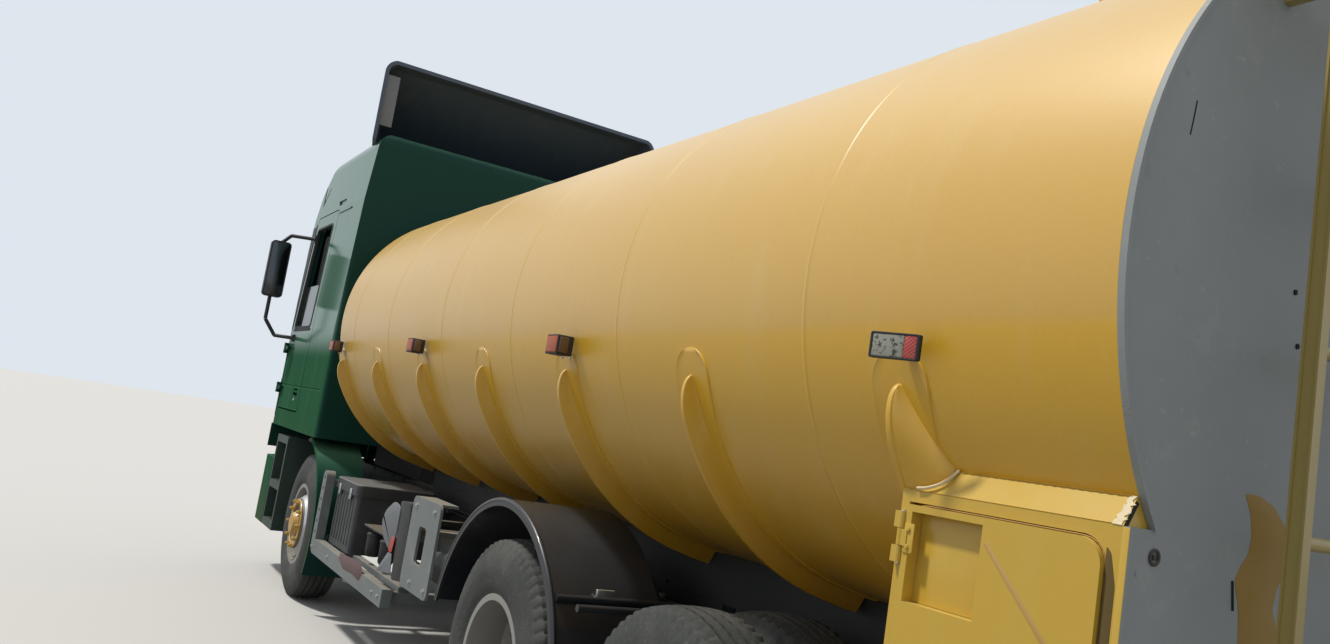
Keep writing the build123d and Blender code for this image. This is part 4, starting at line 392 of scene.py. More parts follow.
# pale cream for the weld at the rib foot, and for the flake at the slope's rear end, which is chipped paint
# and painted highlight
looks["paleWeld"] = surface("paleWeld", flatPaint, {
    "low": (0.62, 0.50, 0.26), "high": (0.74, 0.64, 0.42), "pale": (0.80, 0.74, 0.60),
                                                    "under": (0.50, 0.40, 0.24),
    "dust": (0.70, 0.62, 0.45), "rough": 0.55, "rust": 0.2})
looks["dirtyLens"] = surface("dirtyLens", flatPaint, {
    "low": (0.26, 0.27, 0.22), "high": (0.40, 0.40, 0.34), "pale": (0.56, 0.56, 0.50),
                                                      "under": (0.04, 0.04, 0.03),
    "dust": (0.30, 0.29, 0.26), "rough": 0.30, "rust": 0.0, "marks": 0.9})
looks["greyMetal"] = surface("greyMetal", flatPaint, dict(greyCarrier, low=(0.15, 0.165, 0.18),
                                                          high=(0.20, 0.215, 0.23)))
looks["brownPaint"] = surface("brownPaint", flatPaint, {
    "low": (0.26, 0.155, 0.020), "high": (0.33, 0.20, 0.030), "pale": (0.36, 0.25, 0.08),
                                                        "under": (0.16, 0.11, 0.04),
    "dust": (0.36, 0.28, 0.14), "rough": 0.6, "rust": 0.15, "patches": 0.3})
looks["pinkPaint"] = surface("pinkPaint", flatPaint, {
    "low": (0.12, 0.066, 0.070), "high": (0.16, 0.10, 0.10), "pale": (0.20, 0.17, 0.165),
                                                      "under": (0.20, 0.19, 0.19),
    "dust": (0.22, 0.17, 0.15), "rough": 0.6, "patches": 0.7})
looks["faintPaint"] = surface("faintPaint", flatPaint, {
    "low": (0.44, 0.26, 0.075), "high": (0.50, 0.31, 0.09), "pale": (0.52, 0.33, 0.10),
                                                        "under": (0.40, 0.25, 0.08),
    "dust": (0.52, 0.36, 0.14), "rough": 0.45, "rust": 0.1})
# a dark brown for painted shade where the cabinet door's rear edge lies in shade
looks["shade"] = surface("shade", flatPaint, {
    "low": (0.085, 0.055, 0.014), "high": (0.13, 0.085, 0.020), "pale": (0.17, 0.11, 0.03),
                                              "under": (0.05, 0.03, 0.01),
    "dust": (0.14, 0.10, 0.03), "rough": 0.8})
looks["redPaint"] = surface("redPaint", flatPaint, {
    "low": (0.42, 0.045, 0.030), "high": (0.50, 0.08, 0.06), "pale": (0.55, 0.25, 0.2),
                                                    "under": (0.2, 0.05, 0.04),
    "dust": (0.3, 0.2, 0.16), "rough": 0.5})
# black for dark marks, and painted shade inside the manhole necks and in a gap at the slope's rear end
looks["sootBlack"] = surface("sootBlack", moulded, {
    "low": (0.006, 0.006, 0.006), "high": (0.012, 0.012, 0.012), "dust": (0.03, 0.03, 0.028), "rough": 0.8,
                                                    "dusty": 0.2})
for name, node in nodes.items():
    node.data.materials.clear()
    node.data.materials.append(looks[slotOfNode[name]])
print("stage: finishes,", len(looks))


# Shapes: each is its points and its faces, the faces grouped by how many corners they have
def gridShape(grid, wrapU=False, wrapV=False, capU=False):
    # a sheet over a grid of points, closed along u or v, with flat ends if asked
    rows, columns = grid.shape[:2]
    ids = np.arange(rows * columns).reshape(rows, columns)
    if wrapU:
        ids = np.vstack([ids, ids[:1]])
    if wrapV:
        ids = np.hstack([ids, ids[:, :1]])
    quads = np.stack([ids[:-1, :-1], ids[:-1, 1:], ids[1:, 1:], ids[1:, :-1]], -1).reshape(-1, 4)
    faces = [quads]
    if capU:
        ring = np.arange(columns)
        faces.append(np.stack([ring[::-1], ring + (rows - 1) * columns]))
    return grid.reshape(-1, 3), faces


def joined(shapes):
    points = np.vstack([s[0] for s in shapes])
    starts = np.cumsum([0] + [len(s[0]) for s in shapes[:-1]])
    faces = [group + start for (_, groups), start in zip(shapes, starts) for group in groups]
    return points, faces


def repeated(shape, places):
    # copies of a shape at each place
    points, groups = shape
    places = np.asarray(places, float).reshape(-1, 3)
    many = (points[None] + places[:, None]).reshape(-1, 3)
    steps = (np.arange(len(places)) * len(points))[:, None, None]
    return many, [(group[None] + steps).reshape(-1, group.shape[1]) for group in groups]


def moved(shape, offset):
    return shape[0] + np.asarray(offset, float), shape[1]


def turnedTo(shape, axis):
    # a shape made along +Z, laid along another row axis
    x, y, z = shape[0].T
    laid = {"z": (x, y, z), "y": (x, z, y), "x": (z, y, x), "-y": (x, -z, y), "-x": (-z, y, x),
            "-z": (x, y, -z)}[axis]
    return np.stack(laid, -1), shape[1]


def turned(profile, sides=48):
    # an outline of (radius, height) pairs carried round the Z axis
    radius, height = np.asarray(profile, float).T
    angle = np.linspace(0, 2 * np.pi, sides, endpoint=False)
    grid = np.stack([radius[:, None] * np.cos(angle), radius[:, None] * np.sin(angle),
                     np.broadcast_to(height[:, None], (len(radius), sides))], -1)
    return gridShape(grid, wrapV=True)


def tube(path, radius, sides=12, side=(0, 0, 1)):
    # a round section carried along a path, squared to it, closed at both ends
    path = np.asarray(path, float)
    along = np.gradient(path, axis=0)
    along /= np.linalg.norm(along, axis=1)[:, None]
    first = np.cross(along, np.asarray(side, float))
    first /= np.linalg.norm(first, axis=1)[:, None]
    second = np.cross(along, first)
    angle = np.linspace(0, 2 * np.pi, sides, endpoint=False)
    ring = first[:, None] * np.cos(angle)[None, :, None] + second[:, None] * np.sin(angle)[None, :, None]
    radius = np.broadcast_to(np.asarray(radius, float), (len(path),))
    return gridShape(path[:, None] + ring * radius[:, None, None], wrapV=True, capU=True)


def curve(points, count=24, bend=0.5):
    # a smooth line near a few points: each corner is rounded by a quadratic arc
    p = np.asarray(points, float)
    t = np.linspace(0, 1, max(4, count // max(1, len(p) - 2)))[:, None]
    pieces = [p[:1]]
    for before, corner, after in zip(p[:-2], p[1:-1], p[2:]):
        start = corner + (before - corner) * bend
        end = corner + (after - corner) * bend
        pieces.append((1 - t) ** 2 * start + 2 * t * (1 - t) * corner + t ** 2 * end)
    pieces.append(p[-1:])
    line = np.vstack(pieces)
    keep = np.r_[True, np.linalg.norm(np.diff(line, axis=0), axis=1) > 1e-6]
    return line[keep]


def slab(low, high, round_=0.004, steps=3):
    # a block with rounded edges: rings of a rounded outline, drawn in towards each face
    low, high = np.asarray(low, float), np.asarray(high, float)
    round_ = min(round_, *(0.49 * (high - low)))
    turn = np.linspace(0, np.pi / 2, steps + 1)
    inset = round_ * (1 - np.sin(turn))
    rise = round_ * (1 - np.cos(turn))
    levels = np.r_[low[2] + rise, high[2] - rise[::-1]]
    insets = np.r_[inset, inset[::-1]]
    corner = np.linspace(0, np.pi / 2, steps + 1)
    angle = np.concatenate([corner + k * np.pi / 2 for k in range(4)])
    sx = np.repeat([1, -1, -1, 1], steps + 1)
    sy = np.repeat([1, 1, -1, -1], steps + 1)
    half = (high - low)[:2] / 2
    middle = (high + low)[:2] / 2
    x = middle[0] + sx * (half[0] - round_) + round_ * np.cos(angle)
    y = middle[1] + sy * (half[1] - round_) + round_ * np.sin(angle)
    gx = x[None] - insets[:, None] * np.sign(x - middle[0])[None]
    gy = y[None] - insets[:, None] * np.sign(y - middle[1])[None]
    grid = np.stack([gx, gy, np.broadcast_to(levels[:, None], gx.shape)], -1)
    return gridShape(grid, wrapV=True, capU=True)


def bolt(radius, height):
    # a six-sided head on a washer, standing up from the origin
    head = turned([(0, 0), (radius, 0), (radius, 0.8 * height), (0.82 * radius, height), (0, height)], 6)
    washer = turned([(0, 0), (1.35 * radius, 0), (1.35 * radius, 0.18 * height), (0, 0.18 * height)], 16)
    return joined([washer, moved(head, (0, 0, 0.18 * height))])


def piece(name, shapes, body, look, slot=None, sharp=32.0):
    # one mesh; shapes is one shape or a list of (shape, look) pairs
    if not isinstance(shapes, list):
        shapes = [(shapes, look)]
    mesh = bpy.data.meshes.new(name)
    points, groups = joined([s for s, _ in shapes])
    faces = [face for group in groups for face in group.tolist()]
    mesh.from_pydata(points.tolist(), [], faces)
    names = []
    for _, finish in shapes:
        if finish not in names:
            names.append(finish)
            mesh.materials.append(looks[finish])
    counts = [sum(len(g) for g in s[1]) for s, _ in shapes]
    index = np.repeat([names.index(finish) for _, finish in shapes], counts)
    mesh.polygons.foreach_set("material_index", index.astype(np.int32))
    made = bmesh.new()
    made.from_mesh(mesh)
    bmesh.ops.remove_doubles(made, verts=made.verts, dist=1e-6)
    bmesh.ops.dissolve_degenerate(made, edges=made.edges, dist=1e-7)
    bmesh.ops.recalc_face_normals(made, faces=made.faces)
    made.to_mesh(mesh)
    made.free()
    mesh.polygons.foreach_set("use_smooth", np.ones(len(mesh.polygons), bool))
    mesh.set_sharp_from_angle(angle=math.radians(sharp))
    mesh.update()
    thing = bpy.data.objects.new(name, mesh)
    bpy.context.scene.collection.objects.link(thing)
    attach(thing, body)
    fallback = look if look in finishes else "frame_paint"
    slot or (names[0] if names[0] in finishes else fallback)
    return thing


def bothSides(shape):
    mirror = shape[0] * np.array([1, -1, 1])
    return joined([shape, (mirror, shape[1])])


def bolts(radius, height, axis, places):
    return repeated(turnedTo(bolt(radius, height), axis), places)


def circlePlaces(radius, count, start=0.0):
    turn = np.linspace(start, start + 2 * np.pi, count, endpoint=False)
    return np.stack([radius * np.cos(turn), radius * np.sin(turn), 0 * turn], -1)


def power(value, e):
    # a power that keeps the sign
    return np.sign(value) * np.abs(value) ** e


def mapped(shape, place):
    # a shape whose three coordinates are sent to new places by a function of them
    a, b, c = shape[0].T
    return np.stack(np.broadcast_arrays(*place(a, b, c)), -1).astype(float), shape[1]


def rounded(corners, radius, steps=6):
    # a closed outline in a plane, each corner rounded by a quadratic arc
    p = np.asarray(corners, float)
    t = np.linspace(0, 1, steps)[:, None]
    cut = np.broadcast_to(np.asarray(radius, float), (len(p),))[:, None]
    start, end = (p + (q - p) / np.linalg.norm(q - p, axis=1)[:, None] * cut
                  for q in (np.roll(p, 1, 0), np.roll(p, -1, 0)))
    arc = (1 - t) ** 2 * start[:, None] + 2 * t * (1 - t) * p[:, None] + t ** 2 * end[:, None]
    return arc.reshape(-1, 2)


def oblong(left, right, low, high, radius=0.01):
    return rounded([(left, low), (right, low), (right, high), (left, high)], radius)


def shrunk(outline, inset):
    # an outline moved inwards along its own normals
    ahead = np.roll(outline, -1, 0) - outline
    ahead = ahead / np.maximum(np.linalg.norm(ahead, axis=1), 1e-9)[:, None]
    normal = np.stack([-ahead[:, 1], ahead[:, 0]], -1)
    normal = normal + np.roll(normal, 1, 0)
    normal /= np.maximum(np.linalg.norm(normal, axis=1), 1e-9)[:, None]
    onward = np.roll(outline, -1, 0)
    area = np.sum(outline[:, 0] * onward[:, 1] - onward[:, 0] * outline[:, 1])
    return outline + inset * np.sign(area) * normal


def stacked(outline, section):
    # rings of an outline, each drawn in by an amount and set at a level
    return np.array([np.column_stack([shrunk(outline, inset), np.full(len(outline), level)])
                     for inset, level in section])


def plate(outline, low, high, edge=0.002):
    # a flat outline with thickness along the third axis and rounded edges
    return gridShape(stacked(outline, [(edge, low), (0.3 * edge, low + 0.3 * edge), (0, low + edge),
                                       (0, high - edge),
                                       (0.3 * edge, high - 0.3 * edge), (edge, high)]), wrapV=True, capU=True)


def band(outline, width, low, high, edge=0.002):
    # a rounded strip carried round an outline, from the line inwards
    return gridShape(stacked(outline, [(0, low), (0, high - edge), (0.3 * edge, high - 0.3 * edge),
                                       (edge, high),
                                       (width - edge, high), (width - 0.3 * edge, high - 0.3 * edge),
                                       (width, high - edge), (width, low)]), wrapU=True, wrapV=True)


def onSide(shape, y):
    # a shape given as (x, z, out) stood against a wall at y, facing away from the middle
    return mapped(shape, lambda x, z, out: (x, y + np.sign(y) * out, z))


def onRear(shape, x):
    # a shape given as (y, z, out) stood against a wall that faces the rear
    return mapped(shape, lambda y, z, out: (x - out, y, z))


def onFront(shape, x):
    # a shape given as (y, z, out) stood against a wall that faces forward
    return mapped(shape, lambda y, z, out: (x + out, y, z))


def flipped(shape):
    return shape[0] * np.array([1, -1, 1]), shape[1]


def forBothSides(name, shapes, bodies, look, slot=None, sharp=32.0):
    # the same fittings on the left and, mirrored, on the right body
    for side, turn in (("left", False), ("right", True)):
        made = [(flipped(s) if turn else s, finish) for s, finish in shapes]
        piece(name + "_" + side, made, bodies + "_" + side, look, slot, sharp)


# The tank: a section of four tangent arcs, ruled by the direction its surface faces
tank = {"halfWidth": 1.285, "sideRadius": 0.917, "crownRadius": 2.275, "axisHeight": 2.08681,
        "rear": -4.245, "front": 2.155, "frontRound": 0.04,
        "seams": (-3.278, -2.177, -1.150, -0.172, 0.860, 1.720), "seamHeight": 0.0022, "seamWidth": 0.009,
        "ripple": 0.0011}
sideOffset = tank["halfWidth"] - tank["sideRadius"]
crownDrop = math.sqrt((tank["crownRadius"] - tank["sideRadius"]) ** 2 - sideOffset ** 2)
knee = math.atan2(crownDrop, sideOffset)
tankTop = tank["axisHeight"] + tank["crownRadius"] - crownDrop


def sectionAt(facingAngle, grow=0.0):
    # the arc that faces each angle gives its centre and radius;
    # the point is centre + radius times direction
    a = np.mod(facingAngle + np.pi, 2 * np.pi) - np.pi
    side = (np.abs(a) <= knee) | (np.abs(a) >= np.pi - knee)
    radius = np.where(side, tank["sideRadius"], tank["crownRadius"]) + grow
    centreY = np.where(side, np.where(np.abs(a) < np.pi / 2, sideOffset, -sideOffset), 0.0)
    centreZ = np.where(side, 0.0, np.where(a > 0, -crownDrop, crownDrop))
    return centreY + radius * np.cos(a), tank["axisHeight"] + centreZ + radius * np.sin(a)


def sectionAngles(sideSteps=72, crownSteps=28):
    spans = [(-knee, knee, sideSteps), (knee, np.pi - knee, crownSteps),
             (np.pi - knee, np.pi + knee, sideSteps), (np.pi + knee, 2 * np.pi - knee, crownSteps)]
    return np.concatenate([np.linspace(a, b, n, endpoint=False) for a, b, n in spans])


def makeTankSkin():
    # along the tank the section swells by a weld bead at each seam and by a faint wave between them
    angle = sectionAngles()
    seams = np.array(tank["seams"])
    near = (seams[:, None] + np.linspace(-1.6, 1.6, 9)[None] * tank["seamWidth"]).ravel()
    x = np.sort(np.r_[np.linspace(tank["rear"], tank["front"] - tank["frontRound"], 130), near])
    bead = (np.exp(-((x[:,
                        None] - seams[None]) / (0.5 * tank["seamWidth"])) ** 2)).sum(1) * tank["seamHeight"]
    wave = np.sin(2.9 * x[:, None] + 1.0) * np.sin(3 * angle[None] + 0.7) + 0.6 * np.sin(
        7.1 * x[:, None]) * np.cos(5 * angle[None])
    y, z = sectionAt(angle[None] + 0 * x[:, None], bead[:, None] + tank["ripple"] * wave - tank["ripple"])
    body = np.stack([np.broadcast_to(x[:, None], y.shape), y, z], -1)
    rim = []
    for a in np.linspace(0, np.pi / 2, 7)[1:]:
        ry, rz = sectionAt(angle, -tank["frontRound"] * (1 - math.cos(a)))
        rim.append(np.stack([np.full_like(ry, tank["front"] - tank["frontRound"] * (1 - math.sin(a))), ry,
                             rz], -1))
    shell = gridShape(np.concatenate([body, np.array(rim)]), wrapV=True, capU=True)
    made = piece("tankSkin", shell, "chassis", "tank_paint", sharp=40)
    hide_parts("tank_shell")


# Manholes: a turned neck with a flange, and on each lid its clamps, handle and breather
manhole = {"places": ((-3.835, "lid_rear"), (0.355, "lid_front")), "radius": 0.230, "neck": 0.1147,
           "flange": 0.246,
           "lidThick": 0.035, "clamps": 6, "clampCircle": 0.236}


def makeManholes():
    necks = []
    for x, body in manhole["places"]:
        r, flange = manhole["radius"], manhole["flange"]
        inner = r - 0.012
        neck = turned([(0.0, -0.10), (r, -0.10), (r, 0.084), (flange, 0.088), (flange, 0.108),
                       (r, manhole["neck"]),
                       (inner, manhole["neck"]), (inner, 0.012), (0.0, 0.012)], 64)
        hollow = turned([(0.0, 0.0125), (inner - 0.001, 0.0125), (inner - 0.001, 0.018), (0.0, 0.020)], 64)
        # a black disc in each neck: painted shade
        necks += [(moved(neck, (x, 0, tankTop)), "tank_paint"), (moved(hollow, (x, 0, tankTop)), "sootBlack")]
        around = np.linspace(0, 2 * np.pi, 72)
        sideways = (r + 0.003) * np.sin(around)
        drop = tank["crownRadius"] - np.sqrt(tank["crownRadius"] ** 2 - sideways ** 2)
        necks.append((tube(np.stack([x + (r + 0.003) * np.cos(around), sideways, tankTop - drop], -1), 0.007,
                           8),
                      "tank_paint"))
        ring = circlePlaces(manhole["clampCircle"], manhole["clamps"], 0.5)
        lid = (x, 0, tankTop + manhole["neck"] + 0.0003 + manhole["lidThick"])
        rod = turned([(0.007, -0.004), (0.007, 0.030), (0.0, 0.030)], 10)
        clamps = joined([repeated(slab((-0.014, -0.010, -0.002), (0.014, 0.010, 0.010)), ring),
                         repeated(moved(bolt(0.012, 0.012), (0, 0, 0.010)), ring), repeated(rod, ring)])
        grip = curve([(-0.07, -0.09, 0.006), (-0.07, -0.09, 0.052), (-0.07, 0.09, 0.052),
                      (-0.07, 0.09, 0.006)], 24, 0.3)
        breather = turned([(0.0, 0.0), (0.034, 0.0), (0.034, 0.022), (0.044, 0.026), (0.044, 0.040),
                           (0.020, 0.050),
                           (0, 0.050)], 24)
        piece(body + "_fittings", [(moved(clamps, lid), "brightSteel"),
                                   (moved(tube(grip, 0.008, 10, (1, 0, 0)), lid), "tank_paint"),
                                   (moved(breather, (x + 0.09, 0.06, lid[2] + 0.008)), "brightSteel")],
              body, "brightSteel", "tank_alloy")
    piece("manholeNecks", necks, "chassis", "tank_paint")


# Ribs: a pressed channel that fades in at its tip, on a doubler plate with a round end
rib = {"first": -3.642, "pitch": 0.952, "count": 7, "tip": -18.2, "innerY": 0.435, "depth": 0.060,
       "half": 0.010,
       "corner": 0.0035, "fadeIn": 9.0, "padHalf": 0.096, "padThick": 0.004, "padRise": 0.088, "bead": 0.006,
       "spread": 0.022, "lastSpread": 0.125}


def ribGrids(angle, tip, spread):
    # across: from the foot of one flank over the top to the other's, with a weld fillet at each foot;
    # the rear flank leans, and its foot runs back by a spread that grows down from the tip
    # along: the depth grows from nothing at the tip on a quarter ellipse, then stays
    rise = np.clip((tip - angle) / math.radians(rib["fadeIn"]), 0, 1)
    rise = np.sqrt(1 - (1 - rise) ** 2)
    turn = np.linspace(0, np.pi / 2, 5)
    half, c, foot = rib["half"], rib["corner"], rib["bead"]
    lean = np.array([0.25, 0.5, 0.75])
    across = np.r_[-half - foot, -half - 0.3 * foot, -half, -half + 0 * lean, -half + c * (1 - np.cos(turn)),
                   (half - c * (1 - np.cos(turn)))[::-1], half, half + 0.3 * foot, half + foot]
    level = np.r_[0.0, 0.3 * foot, foot, foot * (1 - lean), -c + c * np.sin(turn),
                  (-c + c * np.sin(turn))[::-1], foot, 0.3 * foot, 0.0]
    top = np.r_[0, 0, 0, lean, np.ones(10), 0, 0, 0]
    back = np.r_[1, 1, 1, 1 - lean, np.zeros(13)]
    belly = np.r_[0, 0, 0, np.sin(np.pi * lean), np.zeros(13)]
    run = spread * np.clip((tip - angle) / math.radians(13.5), 0, 1) ** 1.1
    height = (rib["depth"] * rise)[:, None]
    lift = np.clip(top * height + level + 0.12 * run[:, None] * belly, 0.0, height) + 0.001
    x = across * (0.6 + 0.4 * rise[:, None]) - run[:, None] * back
    outer = np.stack([x, *sectionAt(angle[:, None] + 0 * lift, lift)], -1)
    inner = np.stack([x, *sectionAt(angle[:, None] + 0 * lift, -0.012 + 0 * lift)], -1)
    return np.concatenate([outer, inner[:, ::-1]], 1)


def padGrids(angle, start):
    # a strip on the skin whose end is half a circle, with a thin weld line along its edge
    along = (start - angle) * tank["sideRadius"]
    half = rib["padHalf"] * np.sqrt(np.clip(1 - np.clip(1 - along / rib["padHalf"], 0, 1) ** 2, 0.0004, 1))
    across = np.array([-1.0, -0.975, -0.93, -0.5, 0.0, 0.5, 0.93, 0.975, 1.0])
    thick = rib["padThick"] * np.array([0, 1.25, 1.0, 1, 1, 1, 1.0, 1.25, 0])
    lift = thick * np.clip(along / 0.012, 0, 1)[:, None] - 0.0008
    x = half[:, None] * across
    outer = np.stack([x, *sectionAt(angle[:, None] + 0 * lift, lift)], -1)
    inner = np.stack([x, *sectionAt(angle[:, None] + 0 * lift, -0.008 + 0 * lift)], -1)
    return np.concatenate([outer, inner[:, ::-1]], 1)


def makeRibs():
    tip = math.radians(rib["tip"])
    start = tip + rib["padRise"] / tank["sideRadius"]
    last = -math.acos(rib["innerY"] / tank["crownRadius"])
    ribAngle = tip + (last - tip) * np.linspace(0, 1, 110) ** 1.25
    padAngle = start + (last - start) * np.linspace(0, 1, 80) ** 1.5
    whole = joined([gridShape(ribGrids(ribAngle, tip, rib["spread"]), wrapV=True, capU=True),
                    gridShape(padGrids(padAngle, start), wrapV=True, capU=True)])
    ribs = repeated(whole, [(rib["first"] + i * rib["pitch"], 0, 0) for i in range(1, rib["count"])])
    stop = math.radians(-37.0)  # the rearmost rib ends inside the hose cabinet's sloped top
    short = joined([gridShape(ribGrids(ribAngle[ribAngle > stop], tip, rib["lastSpread"]), wrapV=True,
                              capU=True),
                    gridShape(padGrids(padAngle[padAngle > stop], start), wrapV=True, capU=True)])
    made = piece("tankRibs", bothSides(joined([ribs, moved(short, (rib["first"], 0, 0))])), "chassis",
                 "tank_paint",
                 sharp=40)
    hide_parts("tank_ribs")
    foot = curve([(-3.700, 1.196, 1.562), (-3.735, 1.196, 1.566), (-3.775, 1.182, 1.586),
                  (-3.786, 1.158, 1.616)], 20)
    piece("ribWelds", [(bothSides(tube(foot, 0.004, 8, (0, 1, 0))), "paleWeld")], "chassis", "paleWeld",
          "tank_paint")


makeTankSkin()
makeManholes()
makeRibs()
print("stage: tank")


# Tyres: the section's outline round the wheel, with ribs, grooves and shoulder blocks pressed in
tyre = {"radius": 0.538, "width": 0.300, "treadWidth": 0.224, "bead": 0.287, "groove": 0.013,
        "grooveWidth": 0.007, "blocks": 64, "cut": 0.009}
axles = {"front": 2.830, "middle": -1.340, "rear": -2.690}


def makeTyre(name, x, middles, body, node, lugs):
    around = np.linspace(0, 2 * np.pi, tyre["blocks"] * 6, endpoint=False)
    halfTread, halfWidth = tyre["treadWidth"] / 2, tyre["width"] / 2
    grooves = np.array([-0.064, -0.022, 0.022, 0.064])
    edges = (grooves[:, None] + np.array([-1.0, -0.75, 0.75, 1.0])[None] * tyre["grooveWidth"]).ravel()
    tread = np.sort(np.r_[edges, np.linspace(-halfTread, halfTread, 11)])
    s = np.linspace(0, 1, 17)[1:]  # down the side wall, from the tread's shoulder to the bead
    wallY = halfTread + (halfWidth - halfTread) * np.sin(np.clip(s / 0.62, 0, 1) * np.pi / 2) \
        - 0.022 * np.clip((s - 0.62) / 0.38, 0, 1) ** 2
    wallR = tyre["radius"] - 0.010 - (tyre["radius"] - 0.010 - tyre["bead"]) * s ** 1.12
    wallY = wallY + 0.0022 * (np.abs(s - 0.80) < 0.035) + 0.0018 * (np.abs(s - 0.55) < 0.04)
    crown = tyre["radius"] - 0.010 * (np.abs(tread) / halfTread) ** 2.4
    outlineY = np.r_[-wallY[::-1], tread, wallY]
    outlineR = np.r_[wallR[::-1], crown, wallR]
    inGroove = (np.abs(outlineY[:, None] - grooves[None]) < 0.8 * tyre["grooveWidth"]).any(1) & (
        outlineR > tyre["radius"] - 0.02)
    phase = np.mod(around * tyre["blocks"] / (2 * np.pi), 1.0)
    sawtooth = np.mod(phase[None] + 3.0 * np.abs(outlineY)[:, None], 1.0)
    shoulder = (np.abs(outlineY) > 0.074) & (outlineR > tyre["radius"] - 0.055)
    cut = tyre["cut"] * lugs * ((sawtooth < 0.34) & shoulder[:, None])
    zigzag = 0.0022 * np.where(inGroove, np.sign(outlineY), 0)[:, None] * np.sin(2 * np.pi * phase)[None]
    radius = outlineR[:, None] - tyre["groove"] * inGroove[:, None] - cut
    y = outlineY[:, None] + zigzag + 0 * around[None]
    grid = np.stack([radius * np.cos(around), y, radius * np.sin(around)], -1)
    mid = np.array([[tyre["bead"] + 0.02, wallY[-1] - 0.03], [tyre["bead"] + 0.02, -wallY[-1] + 0.03]])
    back = np.stack([mid[:, :1] * np.cos(around), mid[:, 1:] + 0 * around[None],
                     mid[:, :1] * np.sin(around)], -1)
    shape = gridShape(np.concatenate([grid, back]), wrapU=True, wrapV=True)
    made = piece(name, repeated(shape, [(x, y0, tyre["radius"]) for y0 in middles]), body, "tyre", sharp=38)
    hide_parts(node)


def makeTyres():
    for side, sign in (("left", 1), ("right", -1)):
        makeTyre("tyreFront_" + side, axles["front"], [sign * 1.034], "front_wheel_" + side,
                 "front_tyres_" + side, 0.7)
        for axle in ("middle", "rear"):
            makeTyre(axle + "Tyres_" + side, axles[axle], [sign * 1.063, sign * 0.723],
                     axle + "_wheels_" + side,
                     axle + "_tyres_" + side, 1.0)


# Wheels: nuts on the stud circle, a gilded ring and a bright cover on the front ones, valves and hub bolts
wheel = {"studs": 0.167, "nuts": 10, "frontRing": 1.1825, "twinRing": 0.9215}


def onCircle(radius, count, y, start=0.0):
    x, z, _ = circlePlaces(radius, count, start).T
    return np.stack([x, np.full(count, y), z], -1)


def wheelNut():
    # a six-sided nut with a domed end on a conical washer, along Y
    nut = turned([(0.0, 0.0), (0.017, 0.0), (0.017, 0.004), (0.0145, 0.005)], 20)
    flats = turned([(0.0145, 0.003), (0.0145, 0.020), (0.011, 0.0235), (0.0, 0.0235)], 6)
    stud = turned([(0.0085, 0.02), (0.0085, 0.030), (0.006, 0.033), (0.0, 0.033)], 12)
    return turnedTo(joined([nut, flats, stud]), "y")


def makeWheelFittings():
    valve = tube(curve([(0.0, 0.0, -0.262), (0.0, 0.03, -0.262), (0.0, 0.055, -0.235)], 12), 0.006, 8,
                 (1, 0, 0))
    centre = (axles["front"], 0, tyre["radius"])
    ring = turnedTo(turned([(0.150, 0.0), (0.183, 0.0), (0.186, 0.004), (0.183, 0.009), (0.153, 0.009),
                            (0.150, 0.005),
                            (0.150, 0.0)], 72), "y")
    cover = turnedTo(turned([(0.187, 1.160), (0.187, 1.170), (0.196, 1.168), (0.243, 1.114), (0.262, 1.094),
                             (0.268, 1.094), (0.272, 1.088), (0.268, 1.082), (0.24, 1.106), (0.19, 1.158)],
                            96), "y")
    cap = turnedTo(turned([(0.0, 1.160), (0.098, 1.160), (0.098, 1.186), (0.090, 1.190), (0.078, 1.212),
                           (0.070, 1.220),
                           (0.0, 1.222)], 48), "y")
    front = [(moved(moved(ring, (0, wheel["frontRing"], 0)), centre), "goldPaint"),
             (moved(repeated(wheelNut(), onCircle(wheel["studs"], wheel["nuts"],
                                                  wheel["frontRing"] + 0.008)), centre),
              "goldPaint"),
             (moved(cover, centre), "brightSteel"), (moved(cap, centre), "goldPaint"),
             (moved(bolts(0.007, 0.006, "y", onCircle(0.089, 8, 1.189)), centre), "brightSteel"),
             (moved(moved(valve, (0, 1.090, 0)), centre), "brightSteel")]
    forBothSides("frontHub", front, "front_wheel", "goldPaint", "rim_paint")
    for axle in ("middle", "rear"):
        centre = (axles[axle], 0, tyre["radius"])
        nuts = repeated(wheelNut(), onCircle(wheel["studs"], wheel["nuts"], wheel["twinRing"]))
        hub = bolts(0.010, 0.008, "y", onCircle(0.060, 8, 1.1485))
        flange = bolts(0.009, 0.008, "y", onCircle(0.129, 10, 0.9015, 0.3))
        forBothSides(axle + "Hub", [(moved(nuts, centre), "rim_paint"),
                                    (moved(joined([hub, flange]), centre), "axle_steel"),
                                    (moved(moved(valve, (0, 1.030, 0)), centre), "brightSteel")],
                     axle + "_wheels", "rim_paint")


makeTyres()
makeWheelFittings()
print("stage: wheels")


# Lamps: one piece for all of them, each a housing, a rim and its lenses
lamp = {"firstRib": -3.669, "ribs": (2, 4, 6), "rear": -0.095, "front": 0.010, "low": 1.8433, "high": 1.9193,
        "inner": 1.2957, "outer": 1.3517, "flat": (-3.762, -3.660, 1.843, 1.905), "flatOut": (1.304, 1.360),
        "tailX": (-4.370, -4.300), "tailY": (0.760, 1.130), "tailZ": (0.5803, 0.695),
        "nose": 4.3795, "bezel": 4.3895}


